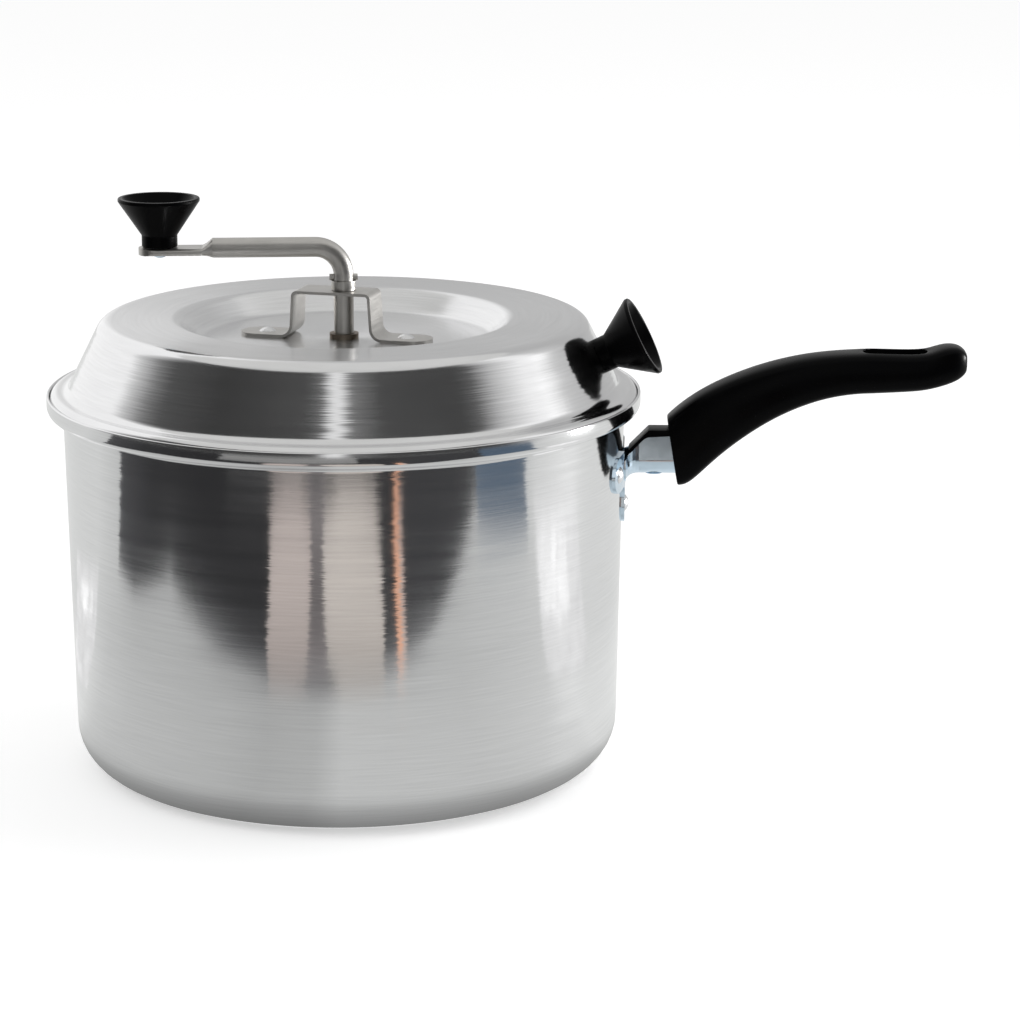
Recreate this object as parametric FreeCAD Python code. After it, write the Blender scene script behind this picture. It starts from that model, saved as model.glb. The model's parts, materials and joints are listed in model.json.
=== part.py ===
import FreeCAD, Part
import math
import os

# Stovetop popcorn popper, in millimetres. The origin is the centre of the pot's base, on its underside.
# +Z is up and +X runs along the handle, away from the pot.

Vector = FreeCAD.Vector
UP = Vector(0, 0, 1)
DOWN = Vector(0, 0, -1)

# Pot: one pressed sheet with a rounded base, a slightly tapered wall and a stepped collar for the lid
POT_SHEET = 1.2
POT_WALL_RADIUS = 120.1
POT_WALL_TAPER_DEG = 1.0
POT_BASE_CORNER = 19.5
POT_LEDGE_HEIGHT = 156.0
POT_LEDGE_BEND = 2.0
POT_COLLAR_STEP = 6.9
POT_COLLAR_BEND = 3.0
POT_COLLAR_DEPTH = 7.5

# Lid: one pressed sheet with a sunk centre, a steep cone and a flange curled down inside the collar
LID_SHEET = 1.0
LID_SEAT_GAP = 0.3
LID_COLLAR_GAP = 0.6
LID_FLANGE_RISE = 1.5
LID_FLANGE_CURL = 3.6
LID_FLANGE_WIDTH = 7.0
LID_SLOPE_FOOT_BEND = 4.0
LID_SLOPE_RUN = 15.0
LID_SLOPE_RISE = 29.8
LID_TOP_BEND = 6.8
LID_TOP_WIDTH = 32.2
LID_RECESS_RUN = 9.0
LID_RECESS_DEPTH = 9.3
LID_RECESS_BEND = 6.0

# Crank: a steel tube, bent once and pressed flat at its end to carry the knob
TUBE_RADIUS = 4.25
TUBE_WALL = 1.3
TUBE_BEND = 12.0
TUBE_RUN_RISE = 39.1
TUBE_RUN_LENGTH = 55.3
CRANK_AZIMUTH_DEG = 186.0
TAB_TAPER_LENGTH = 4.2
TAB_WIDTH = 14.0
TAB_THICKNESS = 3.0
TAB_DROP = 1.0
TAB_END = 86.5
KNOB_PIVOT = 77.5
RUNNING_CLEARANCE = 0.15

# Bridge: a hat-shaped strip across the recess that steadies the crank
BRIDGE_SHEET = 1.2
BRIDGE_WIDTH = 17.0
BRIDGE_RISE = 20.5
BRIDGE_TOP_HALF = 17.4
BRIDGE_FOOT_HALF = 18.6
BRIDGE_HALF_LENGTH = 42.5
BRIDGE_RIVET_SPACING = 62.0
BRIDGE_OFFSET = -3.4
BRIDGE_AZIMUTH_DEG = -12.5
BRIDGE_TOP_BEND = 2.4
BRIDGE_FOOT_BEND = 4.5

# Bush in the lid, and the ring of parts that hold the crank at its height
BUSH_FLANGE_RADIUS = 6.2
BUSH_FLANGE_HEIGHT = 2.0
BUSH_BODY_RADIUS = 5.2
BUSH_TAIL_RADIUS = 6.6
BUSH_TAIL_HEIGHT = 1.2
COLLAR_RADIUS = 5.2
COLLAR_HEIGHT = 4.0
CROSS_PIN_RADIUS = 1.4
CROSS_PIN_LENGTH = 12.0
AXIAL_PLAY = 0.2
RETAINER_RADIUS = 9.0
RETAINER_THICKNESS = 1.2
SPLIT_PIN_RADIUS = 1.1
SPLIT_PIN_LENGTH = 17.0
SPLIT_PIN_EYE_RADIUS = 2.6

# Knobs: hollow phenolic cups on a straight neck, one on the crank and one on the lid
KNOB_NECK_RADIUS = 7.55
KNOB_NECK_HEIGHT = 5.0
KNOB_RIM_RADIUS = 17.25
KNOB_RIM_BAND = 1.4
KNOB_HEIGHT = 20.8
KNOB_WALL = 2.0
KNOB_CUP_FLOOR_RADIUS = 6.4
KNOB_CUP_FLOOR_HEIGHT = 9.0
KNOB_EDGE = 0.6
KNOB_PIN_RADIUS = 2.2
KNOB_PIN_CLEARANCE = 0.2
KNOB_GAP = 0.3
KNOB_WASHER_RADIUS = 5.2
KNOB_WASHER_THICKNESS = 0.8
LID_KNOB_SLOPE_SHARE = 0.483
LID_KNOB_AZIMUTH_DEG = -5.0
LID_KNOB_INSERT_RADIUS = 3.4
LID_KNOB_INSERT_LENGTH = 7.0
LID_KNOB_SCREW_HEAD_RADIUS = 4.0
LID_KNOB_SCREW_HEAD_HEIGHT = 2.4
LID_KNOB_SCREW_TIP_GAP = 1.0

# Bracket: a stamped plate with three rivet lobes and a U trough that carries the grip
BRACKET_SHEET = 1.4
BRACKET_LOBE_RADIUS = 8.0
BRACKET_SIDE_LOBE_AZIMUTH_DEG = 12.0
BRACKET_DROP = 24.0
BRACKET_LOBE_SPACING = 18.0
BRACKET_LOBE_BEND = 6.0
TROUGH_DROP = 4.4
TROUGH_HALF_WIDTH = 7.5
TROUGH_DEPTH = 18.0
TROUGH_REACH = 30.4
TROUGH_SHOULDER_REACH = 9.9
TROUGH_SHOULDER_SHARE = 0.937
TROUGH_SHOULDER_BEND = 4.0
TROUGH_ROOT_SHARE = 0.468
TROUGH_CORNER = 7.0
TROUGH_FLARE = 5.5
TROUGH_FLOOR_FLARE = 2.5
FLARE_STEPS = 6

# Rivets and screws
RIVET_SHANK_RADIUS = 2.0
RIVET_HEAD_RADIUS = 3.6
RIVET_HEAD_HEIGHT = 1.6
RIVET_TAIL_RADIUS = 3.6
RIVET_TAIL_HEIGHT = 1.0
RIVET_HOLE_CLEARANCE = 0.05
HANDLE_SCREW_REACH = 13.4
HANDLE_SCREW_RADIUS = 2.0
HANDLE_SCREW_HEAD_RADIUS = 3.8
HANDLE_SCREW_DEPTH = 12.0

# Grip: a moulded phenolic handle, given as stations from the front face to the rounded tip.
# Each station is the point on the upper line, the point on the lower line, and half the width there.
# The points are measured out from the pot's wall and up from the trough's floor.
GRIP_STATIONS = [
    ((18.7, 24.8), (23.6, -5.0), 9.6),
    ((24.8, 30.6), (29.3, -4.2), 10.4),
    ((36.4, 38.0), (41.4, 9.4), 11.2),
    ((54.4, 45.8), (61.9, 23.8), 11.6),
    ((73.4, 51.0), (78.9, 31.4), 11.4),
    ((91.9, 53.3), (94.4, 35.2), 11.2),
    ((109.4, 53.7), (109.9, 36.6), 11.4),
    ((125.9, 53.3), (123.9, 37.6), 11.6),
    ((134.9, 56.4), (134.9, 39.8), 10.8),
    ((141.9, 56.0), (141.9, 43.0), 8.8),
    ((145.8, 52.0), (145.8, 47.0), 5.0),
]
GRIP_ROUNDING = 0.42
GRIP_CLEARANCE = 0.15
TONGUE_ROOT_GAP = 1.0
TONGUE_RISE = 1.6
HANG_SLOT_REACH = 115.4
HANG_SLOT_LENGTH = 19.0
HANG_SLOT_WIDTH = 8.8

# Stirrer: a hub pinned on the crank's lower end, and two wires that sweep the floor of the pot
HUB_RADIUS = 8.0
HUB_HEIGHT = 17.0
HUB_FLOOR_GAP = 2.0
HUB_BASE_THICKNESS = 3.0
HUB_EDGE = 1.0
STIRRER_PIN_RADIUS = 1.5
STIRRER_PIN_LENGTH = 18.0
STIRRER_PIN_ABOVE_FLOOR = 15.6
WIRE_RADIUS = 2.0
WIRE_FLOOR_GAP = 1.0
WIRE_ROOT_HEIGHT = 12.6
WIRE_ROOT_DEPTH = 2.6
WIRE_STRAIGHT_RADIUS = 15.0
WIRE_LANDING_RADIUS = 27.0
WIRE_SWEEP_RADIUS = 68.0
WIRE_SWEEP_BOW = 17.0
WIRE_TIP_INSET = 20.1
WIRE_TIP_RISE = 9.0
WIRE_TIP_OUT = 6.0
WIRE_BEND = 6.0
WIRE_SWEEP_BEND = 40.0
STIRRER_AZIMUTH_DEG = 40.0

# Sizes and places that follow from the values above
POT_TAPER = math.tan(math.radians(POT_WALL_TAPER_DEG))
POT_FLOOR = POT_SHEET
POT_COLLAR_RADIUS = POT_WALL_RADIUS + POT_COLLAR_STEP
POT_COLLAR_TOP = POT_LEDGE_HEIGHT + POT_COLLAR_DEPTH
LID_FLANGE_RADIUS = POT_COLLAR_RADIUS - POT_SHEET - LID_COLLAR_GAP
LID_FLANGE_HEIGHT = POT_COLLAR_TOP + LID_FLANGE_RISE
LID_SKIRT_FOOT = POT_LEDGE_HEIGHT + POT_SHEET + LID_SEAT_GAP
LID_SLOPE_FOOT_RADIUS = LID_FLANGE_RADIUS - LID_FLANGE_WIDTH
LID_TOP_RADIUS = LID_SLOPE_FOOT_RADIUS - LID_SLOPE_RUN
LID_TOP_HEIGHT = LID_FLANGE_HEIGHT + LID_SLOPE_RISE
LID_SLOPE = math.atan2(LID_SLOPE_RISE, LID_SLOPE_RUN)
LID_RECESS_MOUTH_RADIUS = LID_TOP_RADIUS - LID_TOP_WIDTH
LID_RECESS_FLOOR_RADIUS = LID_RECESS_MOUTH_RADIUS - LID_RECESS_RUN
LID_RECESS_FLOOR_HEIGHT = LID_TOP_HEIGHT - LID_RECESS_DEPTH
LID_UNDERSIDE = LID_RECESS_FLOOR_HEIGHT - LID_SHEET
LID_KNOB_RADIUS = LID_TOP_RADIUS + LID_KNOB_SLOPE_SHARE * LID_SLOPE_RUN
LID_KNOB_HEIGHT = LID_TOP_HEIGHT - LID_KNOB_SLOPE_SHARE * LID_SLOPE_RISE
BRIDGE_TOP_HEIGHT = LID_RECESS_FLOOR_HEIGHT + BRIDGE_RISE
TUBE_RUN_HEIGHT = LID_RECESS_FLOOR_HEIGHT + TUBE_RUN_RISE
TUBE_HOLE_RADIUS = TUBE_RADIUS + RUNNING_CLEARANCE
TUBE_FOOT = POT_FLOOR + HUB_FLOOR_GAP + HUB_BASE_THICKNESS
CRANK_DIRECTION = Vector(
    math.cos(math.radians(CRANK_AZIMUTH_DEG)), math.sin(math.radians(CRANK_AZIMUTH_DEG)), 0
)
TAB_MIDDLE = TUBE_RUN_HEIGHT - TAB_DROP
TAB_TOP = TAB_MIDDLE + TAB_THICKNESS / 2
TAB_UNDERSIDE = TAB_MIDDLE - TAB_THICKNESS / 2
COLLAR_FOOT = BRIDGE_TOP_HEIGHT + AXIAL_PLAY
CROSS_PIN_HEIGHT = COLLAR_FOOT + COLLAR_HEIGHT + CROSS_PIN_RADIUS
BUSH_TAIL_FOOT = LID_UNDERSIDE - BUSH_TAIL_HEIGHT
RETAINER_TOP = BUSH_TAIL_FOOT - AXIAL_PLAY
SPLIT_PIN_HEIGHT = RETAINER_TOP - RETAINER_THICKNESS - SPLIT_PIN_RADIUS
HUB_FOOT = POT_FLOOR + HUB_FLOOR_GAP
WIRE_RUN_HEIGHT = POT_FLOOR + WIRE_FLOOR_GAP + WIRE_RADIUS
WIRE_TIP_RADIUS = POT_WALL_RADIUS - WIRE_TIP_INSET
BRACKET_SIDE_LOBE_HEIGHT = POT_LEDGE_HEIGHT - BRACKET_DROP
BRACKET_LOW_LOBE_HEIGHT = BRACKET_SIDE_LOBE_HEIGHT - BRACKET_LOBE_SPACING
TROUGH_FLOOR_HEIGHT = BRACKET_SIDE_LOBE_HEIGHT - TROUGH_DROP
TROUGH_TOP_HEIGHT = TROUGH_FLOOR_HEIGHT + TROUGH_DEPTH
TROUGH_SHOULDER_HEIGHT = TROUGH_FLOOR_HEIGHT + TROUGH_SHOULDER_SHARE * TROUGH_DEPTH
TROUGH_ROOT_HEIGHT = TROUGH_FLOOR_HEIGHT + TROUGH_ROOT_SHARE * TROUGH_DEPTH
HANDLE_FOOT_X = POT_WALL_RADIUS - (POT_LEDGE_HEIGHT - TROUGH_FLOOR_HEIGHT) * POT_TAPER
TROUGH_SHOULDER_X = HANDLE_FOOT_X + TROUGH_SHOULDER_REACH
TROUGH_END_X = HANDLE_FOOT_X + TROUGH_REACH
HANDLE_SCREW_X = HANDLE_FOOT_X + HANDLE_SCREW_REACH
RIVET_HOLE_RADIUS = RIVET_SHANK_RADIUS + RIVET_HOLE_CLEARANCE
KNOB_BORE_RADIUS = KNOB_PIN_RADIUS + KNOB_PIN_CLEARANCE
HEADROOM = 30.0
OVERCUT = 1.0
TINY = 0.000001


# Outlines

def flat(x, z):
    """A point of an outline drawn in the upright XZ plane."""
    return Vector(x, 0, z)


def polar(radius, azimuth_deg, height):
    """A point given by its distance from the pot's axis, its azimuth and its height."""
    azimuth = math.radians(azimuth_deg)
    return Vector(radius * math.cos(azimuth), radius * math.sin(azimuth), height)


def heading(start, end):
    """The unit vector from one point to another."""
    return (end - start).normalize()


def left_normal(start, end):
    """The unit vector to the left of a stretch drawn in the XZ plane."""
    ahead = heading(start, end)
    return Vector(-ahead.z, 0, ahead.x)


def offset_path(points, distance):
    """The corners of an open outline in the XZ plane, moved to its left by a distance."""
    normals = [left_normal(a, b) for a, b in zip(points, points[1:])]
    before = [normals[0]] + normals
    after = normals + [normals[-1]]
    moved = []
    for point, first, second in zip(points, before, after):
        middle = first + second
        moved.append(point + middle * (2 * distance / middle.dot(middle)))
    return moved


def rounded_path(points, radii):
    """The edges of an open outline, with an arc of its own radius at each inner corner."""
    edges = []
    here = points[0]
    for previous, corner, following, radius in zip(points, points[1:], points[2:], radii):
        into = heading(previous, corner)
        out = heading(corner, following)
        half_turn = into.getAngle(out) / 2
        setback = radius * math.tan(half_turn)
        arc_start = corner - into * setback
        if (arc_start - here).Length > TINY:
            edges.append(Part.LineSegment(here, arc_start).toShape())
        here = arc_start
        if setback > TINY:
            inward = (out - into).normalize()
            arc_middle = corner + inward * (radius / math.cos(half_turn) - radius)
            arc_end = corner + out * setback
            edges.append(Part.Arc(arc_start, arc_middle, arc_end).toShape())
            here = arc_end
    if (points[-1] - here).Length > TINY:
        edges.append(Part.LineSegment(here, points[-1]).toShape())
    return edges


def rounded_loop(points, radii):
    """A closed wire with an arc of its own radius at each corner."""
    middle = (points[-1] + points[0]) * 0.5
    return Part.Wire(rounded_path([middle] + points + [middle], radii))


def sheet_face(points, radii, thickness):
    """The section of a bent sheet. Its outline is one face of the sheet, and the sheet lies to the left
    of the outline, or to the right where the thickness is negative. The last edge is rounded over."""
    other = offset_path(points, thickness)
    other_radii = []
    for previous, corner, following, radius in zip(points, points[1:], points[2:], radii):
        turns_left = left_normal(previous, corner).dot(following - corner) > 0
        inner_bend = radius - thickness if turns_left else radius + thickness
        other_radii.append(max(inner_bend, 0))
    root = Part.LineSegment(points[0], other[0]).toShape()
    lip_middle = (points[-1] + other[-1]) * 0.5 + heading(points[-2], points[-1]) * abs(thickness) / 2
    lip = Part.Arc(points[-1], lip_middle, other[-1]).toShape()
    edges = rounded_path(points, radii) + [lip] + rounded_path(other, other_radii) + [root]
    return Part.Face(Part.Wire(Part.__sortEdges__(edges)))


# Solids

def spin(face):
    """A face drawn in the XZ plane, turned once round the Z axis."""
    return face.revolve(Vector(), UP, 360)


def lathe(points, radii):
    """A turned solid. Its outline starts and ends on the Z axis."""
    edges = rounded_path(points, radii)
    edges.append(Part.LineSegment(points[-1], points[0]).toShape())
    return spin(Part.Face(Part.Wire(edges)))


def cylinder(radius, foot, top, centre=Vector()):
    """An upright cylinder between two heights."""
    return Part.makeCylinder(radius, top - foot, Vector(centre.x, centre.y, foot))


def ring(outer, inner, foot, top):
    """An upright ring between two heights, round the Z axis."""
    return cylinder(outer, foot, top).cut(cylinder(inner, foot - OVERCUT, top + OVERCUT))


def pipe(edges, radius):
    """A round bar along a chain of edges."""
    path = Part.Wire(edges)
    start = path.Edges[0].valueAt(path.Edges[0].FirstParameter)
    ahead = path.Edges[0].tangentAt(path.Edges[0].FirstParameter)
    section = Part.Wire(Part.makeCircle(radius, start, ahead))
    return path.makePipeShell([section], True, True)


def placed(shape, position, direction):
    """A copy of a shape with its Z axis turned to a direction and its origin moved to a position."""
    copy = shape.copy()
    copy.Placement = FreeCAD.Placement(position, FreeCAD.Rotation(UP, direction))
    return copy


def turned(shape, azimuth_deg):
    """A copy of a shape turned round the Z axis."""
    copy = shape.copy()
    copy.rotate(Vector(), UP, azimuth_deg)
    return copy


def dome(radius, height):
    """The arc of a shallow dome in the XZ plane, from the axis out to its edge."""
    ball = (radius ** 2 + height ** 2) / (2 * height)
    half = math.asin(radius / ball) / 2
    middle = flat(ball * math.sin(half), height - ball + ball * math.cos(half))
    return Part.Arc(flat(0, height), middle, flat(radius, 0)).toShape()


def hollow_rise(radius, hollow_radius):
    """How far a flat disc stands off the middle of a hollow round wall that its edge touches."""
    return hollow_radius - math.sqrt(hollow_radius ** 2 - radius ** 2)


def rivet(shank_radius, head_radius, head_height, grip, tail_radius, tail_height):
    """A rivet along Z: a domed head above zero, a shank down through the grip and a flat tail."""
    points = [
        flat(head_radius, 0),
        flat(shank_radius, 0),
        flat(shank_radius, -grip),
        flat(tail_radius, -grip),
        flat(tail_radius, -grip - tail_height),
        flat(0, -grip - tail_height),
        flat(0, head_height),
    ]
    edges = rounded_path(points, [0] * (len(points) - 2))
    return spin(Part.Face(Part.Wire([dome(head_radius, head_height)] + edges)))


# Pot

def pot_wall_radius(height):
    """Outer radius of the pot's wall at a height."""
    return POT_WALL_RADIUS - (POT_LEDGE_HEIGHT - height) * POT_TAPER


def pot_wall_normal(azimuth_deg):
    """The direction that faces squarely out of the tapered wall."""
    return polar(1, azimuth_deg, -POT_TAPER).normalize()


def bracket_rivet_places():
    """Azimuth and height of the bracket's three rivets."""
    side = BRACKET_SIDE_LOBE_AZIMUTH_DEG
    return [
        (-side, BRACKET_SIDE_LOBE_HEIGHT),
        (side, BRACKET_SIDE_LOBE_HEIGHT),
        (0, BRACKET_LOW_LOBE_HEIGHT),
    ]


def on_bracket_rivets(shape):
    """Copies of a shape on the bracket's front face, one at each rivet."""
    copies = []
    for azimuth_deg, height in bracket_rivet_places():
        normal = pot_wall_normal(azimuth_deg)
        seat = polar(pot_wall_radius(height), azimuth_deg, height) + normal * BRACKET_SHEET
        copies.append(placed(shape, seat, normal))
    return copies


def bracket_rivet_drill():
    """A bar wide enough for a rivet's shank, through plate and wall."""
    depth = 4 * (BRACKET_SHEET + POT_SHEET)
    return Part.makeCylinder(RIVET_HOLE_RADIUS, depth, Vector(0, 0, -depth / 2))


def pot_body():
    """The pot, its outline drawn on the outside from the axis out and up."""
    outline = [
        flat(0, 0),
        flat(pot_wall_radius(0), 0),
        flat(POT_WALL_RADIUS, POT_LEDGE_HEIGHT),
        flat(POT_COLLAR_RADIUS, POT_LEDGE_HEIGHT),
        flat(POT_COLLAR_RADIUS, POT_COLLAR_TOP - POT_SHEET / 2),
    ]
    pot = spin(sheet_face(outline, [POT_BASE_CORNER, POT_LEDGE_BEND, POT_COLLAR_BEND], POT_SHEET))
    return pot.cut(on_bracket_rivets(bracket_rivet_drill()))


# Handle bracket

def trough_section(x, half_width, floor, top, corner):
    """A U across the handle, closed along its top."""
    points = [
        Vector(x, half_width, top),
        Vector(x, half_width, floor),
        Vector(x, -half_width, floor),
        Vector(x, -half_width, top),
    ]
    return rounded_loop(points, [0, corner, corner, 0])


def trough_loft(face_x, inset, flare, floor_flare, top):
    """The space inside one skin of the trough. It widens in a quarter round towards the pot."""
    half_width = TROUGH_HALF_WIDTH - inset
    floor = TROUGH_FLOOR_HEIGHT + inset
    corner = TROUGH_CORNER - inset
    sections = []
    for step in range(FLARE_STEPS + 1):
        angle = math.pi / 2 * step / FLARE_STEPS
        spread = 1 - math.sin(angle)
        x = face_x + flare * (1 - math.cos(angle))
        sections.append(
            trough_section(x, half_width + flare * spread, floor - floor_flare * spread, top, corner)
        )
    mouth = Part.makeLoft(sections, True, True)
    root = trough_section(face_x - 2 * BRACKET_SHEET, half_width + flare, floor - floor_flare, top, corner)
    throat = Part.Face(root).extrude(Vector(2 * BRACKET_SHEET, 0, 0))
    end = trough_section(face_x + flare, half_width, floor, top, corner)
    channel = Part.Face(end).extrude(Vector(TROUGH_END_X - face_x - flare, 0, 0))
    return throat.fuse([mouth, channel])


def trough_top_cut(rise, end_x):
    """All that lies above the trough's upper line, moved up by a rise."""
    root_x = pot_wall_radius(TROUGH_ROOT_HEIGHT) + BRACKET_SHEET
    slope = (TROUGH_SHOULDER_HEIGHT - TROUGH_ROOT_HEIGHT) / (TROUGH_SHOULDER_X - root_x)
    back = 4 * BRACKET_SHEET
    line = [
        flat(root_x - back, TROUGH_ROOT_HEIGHT - back * slope + rise),
        flat(TROUGH_SHOULDER_X, TROUGH_SHOULDER_HEIGHT + rise),
        flat(TROUGH_END_X, TROUGH_TOP_HEIGHT + rise),
        flat(end_x, TROUGH_TOP_HEIGHT + rise),
        flat(end_x, TROUGH_TOP_HEIGHT + HEADROOM),
        flat(root_x - back, TROUGH_TOP_HEIGHT + HEADROOM),
    ]
    face = Part.Face(rounded_loop(line, [0, TROUGH_SHOULDER_BEND, 0, 0, 0, 0]))
    half_width = TROUGH_HALF_WIDTH + TROUGH_FLARE + BRACKET_SHEET
    face.translate(Vector(0, -half_width, 0))
    return face.extrude(Vector(0, 2 * half_width, 0))


def lobe_outline():
    """The plate's outline as seen along the handle: a T with rounded ends."""
    lobe = BRACKET_LOBE_RADIUS
    arm = pot_wall_radius(BRACKET_SIDE_LOBE_HEIGHT) * math.sin(math.radians(BRACKET_SIDE_LOBE_AZIMUTH_DEG))
    top = BRACKET_SIDE_LOBE_HEIGHT + lobe
    under = BRACKET_SIDE_LOBE_HEIGHT - lobe
    foot = BRACKET_LOW_LOBE_HEIGHT - lobe
    corners = [
        (-arm - lobe, under),
        (-lobe, under),
        (-lobe, foot),
        (lobe, foot),
        (lobe, under),
        (arm + lobe, under),
        (arm + lobe, top),
        (-arm - lobe, top),
    ]
    bend = BRACKET_LOBE_BEND
    radii = [lobe, bend, lobe, lobe, bend, lobe, lobe, lobe]
    return rounded_loop([Vector(0, y, z) for y, z in corners], radii)


def bracket_plate():
    """The plate, bent to the pot's wall."""
    foot = BRACKET_LOW_LOBE_HEIGHT - 2 * BRACKET_LOBE_RADIUS
    top = BRACKET_SIDE_LOBE_HEIGHT + 2 * BRACKET_LOBE_RADIUS
    strip = [
        flat(pot_wall_radius(foot), foot),
        flat(pot_wall_radius(top), top),
    ]
    hoop = spin(sheet_face(strip, [], -BRACKET_SHEET))
    return hoop.common(Part.Face(lobe_outline()).extrude(Vector(POT_COLLAR_RADIUS, 0, 0)))


def handle_screw_place():
    """The point under the trough where the handle's screw goes in."""
    return Vector(HANDLE_SCREW_X, 0, TROUGH_FLOOR_HEIGHT)


def countersink():
    """The cone of the handle screw's flush head, from its face up."""
    return Part.makeCone(HANDLE_SCREW_HEAD_RADIUS, HANDLE_SCREW_RADIUS, BRACKET_SHEET)


def handle_bracket():
    """Plate and trough stamped from one sheet."""
    front = pot_wall_radius(TROUGH_FLOOR_HEIGHT) + BRACKET_SHEET
    back = front - BRACKET_SHEET
    top = TROUGH_TOP_HEIGHT + BRACKET_SHEET
    outside = trough_loft(front, 0, TROUGH_FLARE, TROUGH_FLOOR_FLARE, top)
    inside = trough_loft(
        back,
        BRACKET_SHEET,
        TROUGH_FLARE + BRACKET_SHEET,
        TROUGH_FLOOR_FLARE + BRACKET_SHEET,
        top + OVERCUT,
    )
    pot_space = spin(
        Part.Face(
            Part.makePolygon(
                [
                    flat(0, 0),
                    flat(pot_wall_radius(0), 0),
                    flat(pot_wall_radius(POT_COLLAR_TOP), POT_COLLAR_TOP),
                    flat(0, POT_COLLAR_TOP),
                    flat(0, 0),
                ]
            )
        )
    )
    bracket = outside.cut(pot_space).fuse(bracket_plate())
    bracket = bracket.cut([inside, trough_top_cut(0, TROUGH_END_X + OVERCUT)])
    screw = handle_screw_place()
    holes = on_bracket_rivets(bracket_rivet_drill())
    holes.append(placed(countersink(), screw, UP))
    shank_hole = HANDLE_SCREW_RADIUS + RIVET_HOLE_CLEARANCE
    holes.append(cylinder(shank_hole, screw.z - OVERCUT, screw.z + 2 * BRACKET_SHEET, screw))
    return bracket.cut(holes).removeSplitter()


def bracket_rivets():
    """Three rivets through the bracket's lobes and the pot's wall."""
    one = rivet(
        RIVET_SHANK_RADIUS,
        RIVET_HEAD_RADIUS,
        RIVET_HEAD_HEIGHT,
        BRACKET_SHEET + POT_SHEET + hollow_rise(RIVET_TAIL_RADIUS, POT_WALL_RADIUS - POT_SHEET),
        RIVET_TAIL_RADIUS,
        RIVET_TAIL_HEIGHT,
    )
    return Part.makeCompound(on_bracket_rivets(one))


# Handle grip

def grip_point(out, up):
    """A point on the grip's middle plane, measured from the pot's wall and the trough's floor."""
    return flat(HANDLE_FOOT_X + out, TROUGH_FLOOR_HEIGHT + up)


def grip_section(upper, lower, half_width):
    """A rounded section across the grip, between a point on its upper line and one on its lower line."""
    top = grip_point(*upper)
    foot = grip_point(*lower)
    side = Vector(0, half_width, 0)
    rounding = GRIP_ROUNDING * min(2 * half_width, (top - foot).Length)
    return rounded_loop([top + side, foot + side, foot - side, top - side], [rounding] * 4)


def grip_tongue():
    """The grip's tongue, which fills the trough up to just short of the pot."""
    inset = BRACKET_SHEET + GRIP_CLEARANCE
    start = pot_wall_radius(TROUGH_ROOT_HEIGHT) + BRACKET_SHEET + TONGUE_ROOT_GAP
    section = trough_section(
        start,
        TROUGH_HALF_WIDTH - inset,
        TROUGH_FLOOR_HEIGHT + inset,
        TROUGH_TOP_HEIGHT + TONGUE_RISE + OVERCUT,
        TROUGH_CORNER - inset,
    )
    bar = Part.Face(section).extrude(Vector(TROUGH_END_X + OVERCUT - start, 0, 0))
    foot_of_front = grip_point(*GRIP_STATIONS[0][1])
    return bar.cut(trough_top_cut(TONGUE_RISE, foot_of_front.x))


def grip_socket():
    """The slot in the grip that takes the trough's sheet."""
    start = grip_point(*GRIP_STATIONS[0][0]).x - BRACKET_SHEET
    length = TROUGH_END_X + GRIP_CLEARANCE - start
    top = TROUGH_TOP_HEIGHT + GRIP_CLEARANCE
    outer = trough_section(
        start,
        TROUGH_HALF_WIDTH + GRIP_CLEARANCE,
        TROUGH_FLOOR_HEIGHT - GRIP_CLEARANCE,
        top,
        TROUGH_CORNER,
    )
    return Part.Face(outer).extrude(Vector(length, 0, 0))


def slot_bar(length, width, foot, top):
    """An upright bar with round ends, centred on the Z axis and long in X."""
    x = length / 2
    y = width / 2
    points = [Vector(-x, -y, foot), Vector(x, -y, foot), Vector(x, y, foot), Vector(-x, y, foot)]
    face = Part.Face(rounded_loop(points, [y] * 4))
    return face.extrude(Vector(0, 0, top - foot))


def hang_slot():
    """The upright slot near the tip, by which the popper hangs."""
    bar = slot_bar(HANG_SLOT_LENGTH, HANG_SLOT_WIDTH, TROUGH_FLOOR_HEIGHT, LID_TOP_HEIGHT + HEADROOM)
    bar.translate(Vector(HANDLE_FOOT_X + HANG_SLOT_REACH, 0, 0))
    return bar


def handle_grip():
    """The grip: a lofted body with a slot for the trough, a tongue inside it and a hanging slot."""
    body = Part.makeLoft([grip_section(*station) for station in GRIP_STATIONS], True, False)
    body = body.cut(grip_socket()).fuse(grip_tongue())
    screw = handle_screw_place()
    hole = cylinder(HANDLE_SCREW_RADIUS, screw.z, screw.z + BRACKET_SHEET + HANDLE_SCREW_DEPTH, screw)
    return body.cut([hang_slot(), hole]).removeSplitter()


def handle_screw():
    """The flush screw up through the trough's floor into the grip's tongue."""
    shank = cylinder(HANDLE_SCREW_RADIUS, BRACKET_SHEET, BRACKET_SHEET + HANDLE_SCREW_DEPTH)
    return placed(countersink().fuse(shank).removeSplitter(), handle_screw_place(), UP)


# Lid

def lid_outline():
    """The lid's upper face, from the rim of the centre hole out and down to the skirt's foot."""
    floor = LID_RECESS_FLOOR_HEIGHT
    return [
        flat(BUSH_BODY_RADIUS, floor),
        flat(LID_RECESS_FLOOR_RADIUS, floor),
        flat(LID_RECESS_MOUTH_RADIUS, LID_TOP_HEIGHT),
        flat(LID_TOP_RADIUS, LID_TOP_HEIGHT),
        flat(LID_SLOPE_FOOT_RADIUS, LID_FLANGE_HEIGHT),
        flat(LID_FLANGE_RADIUS, LID_FLANGE_HEIGHT),
        flat(LID_FLANGE_RADIUS, LID_SKIRT_FOOT + LID_SHEET / 2),
    ]


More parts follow.
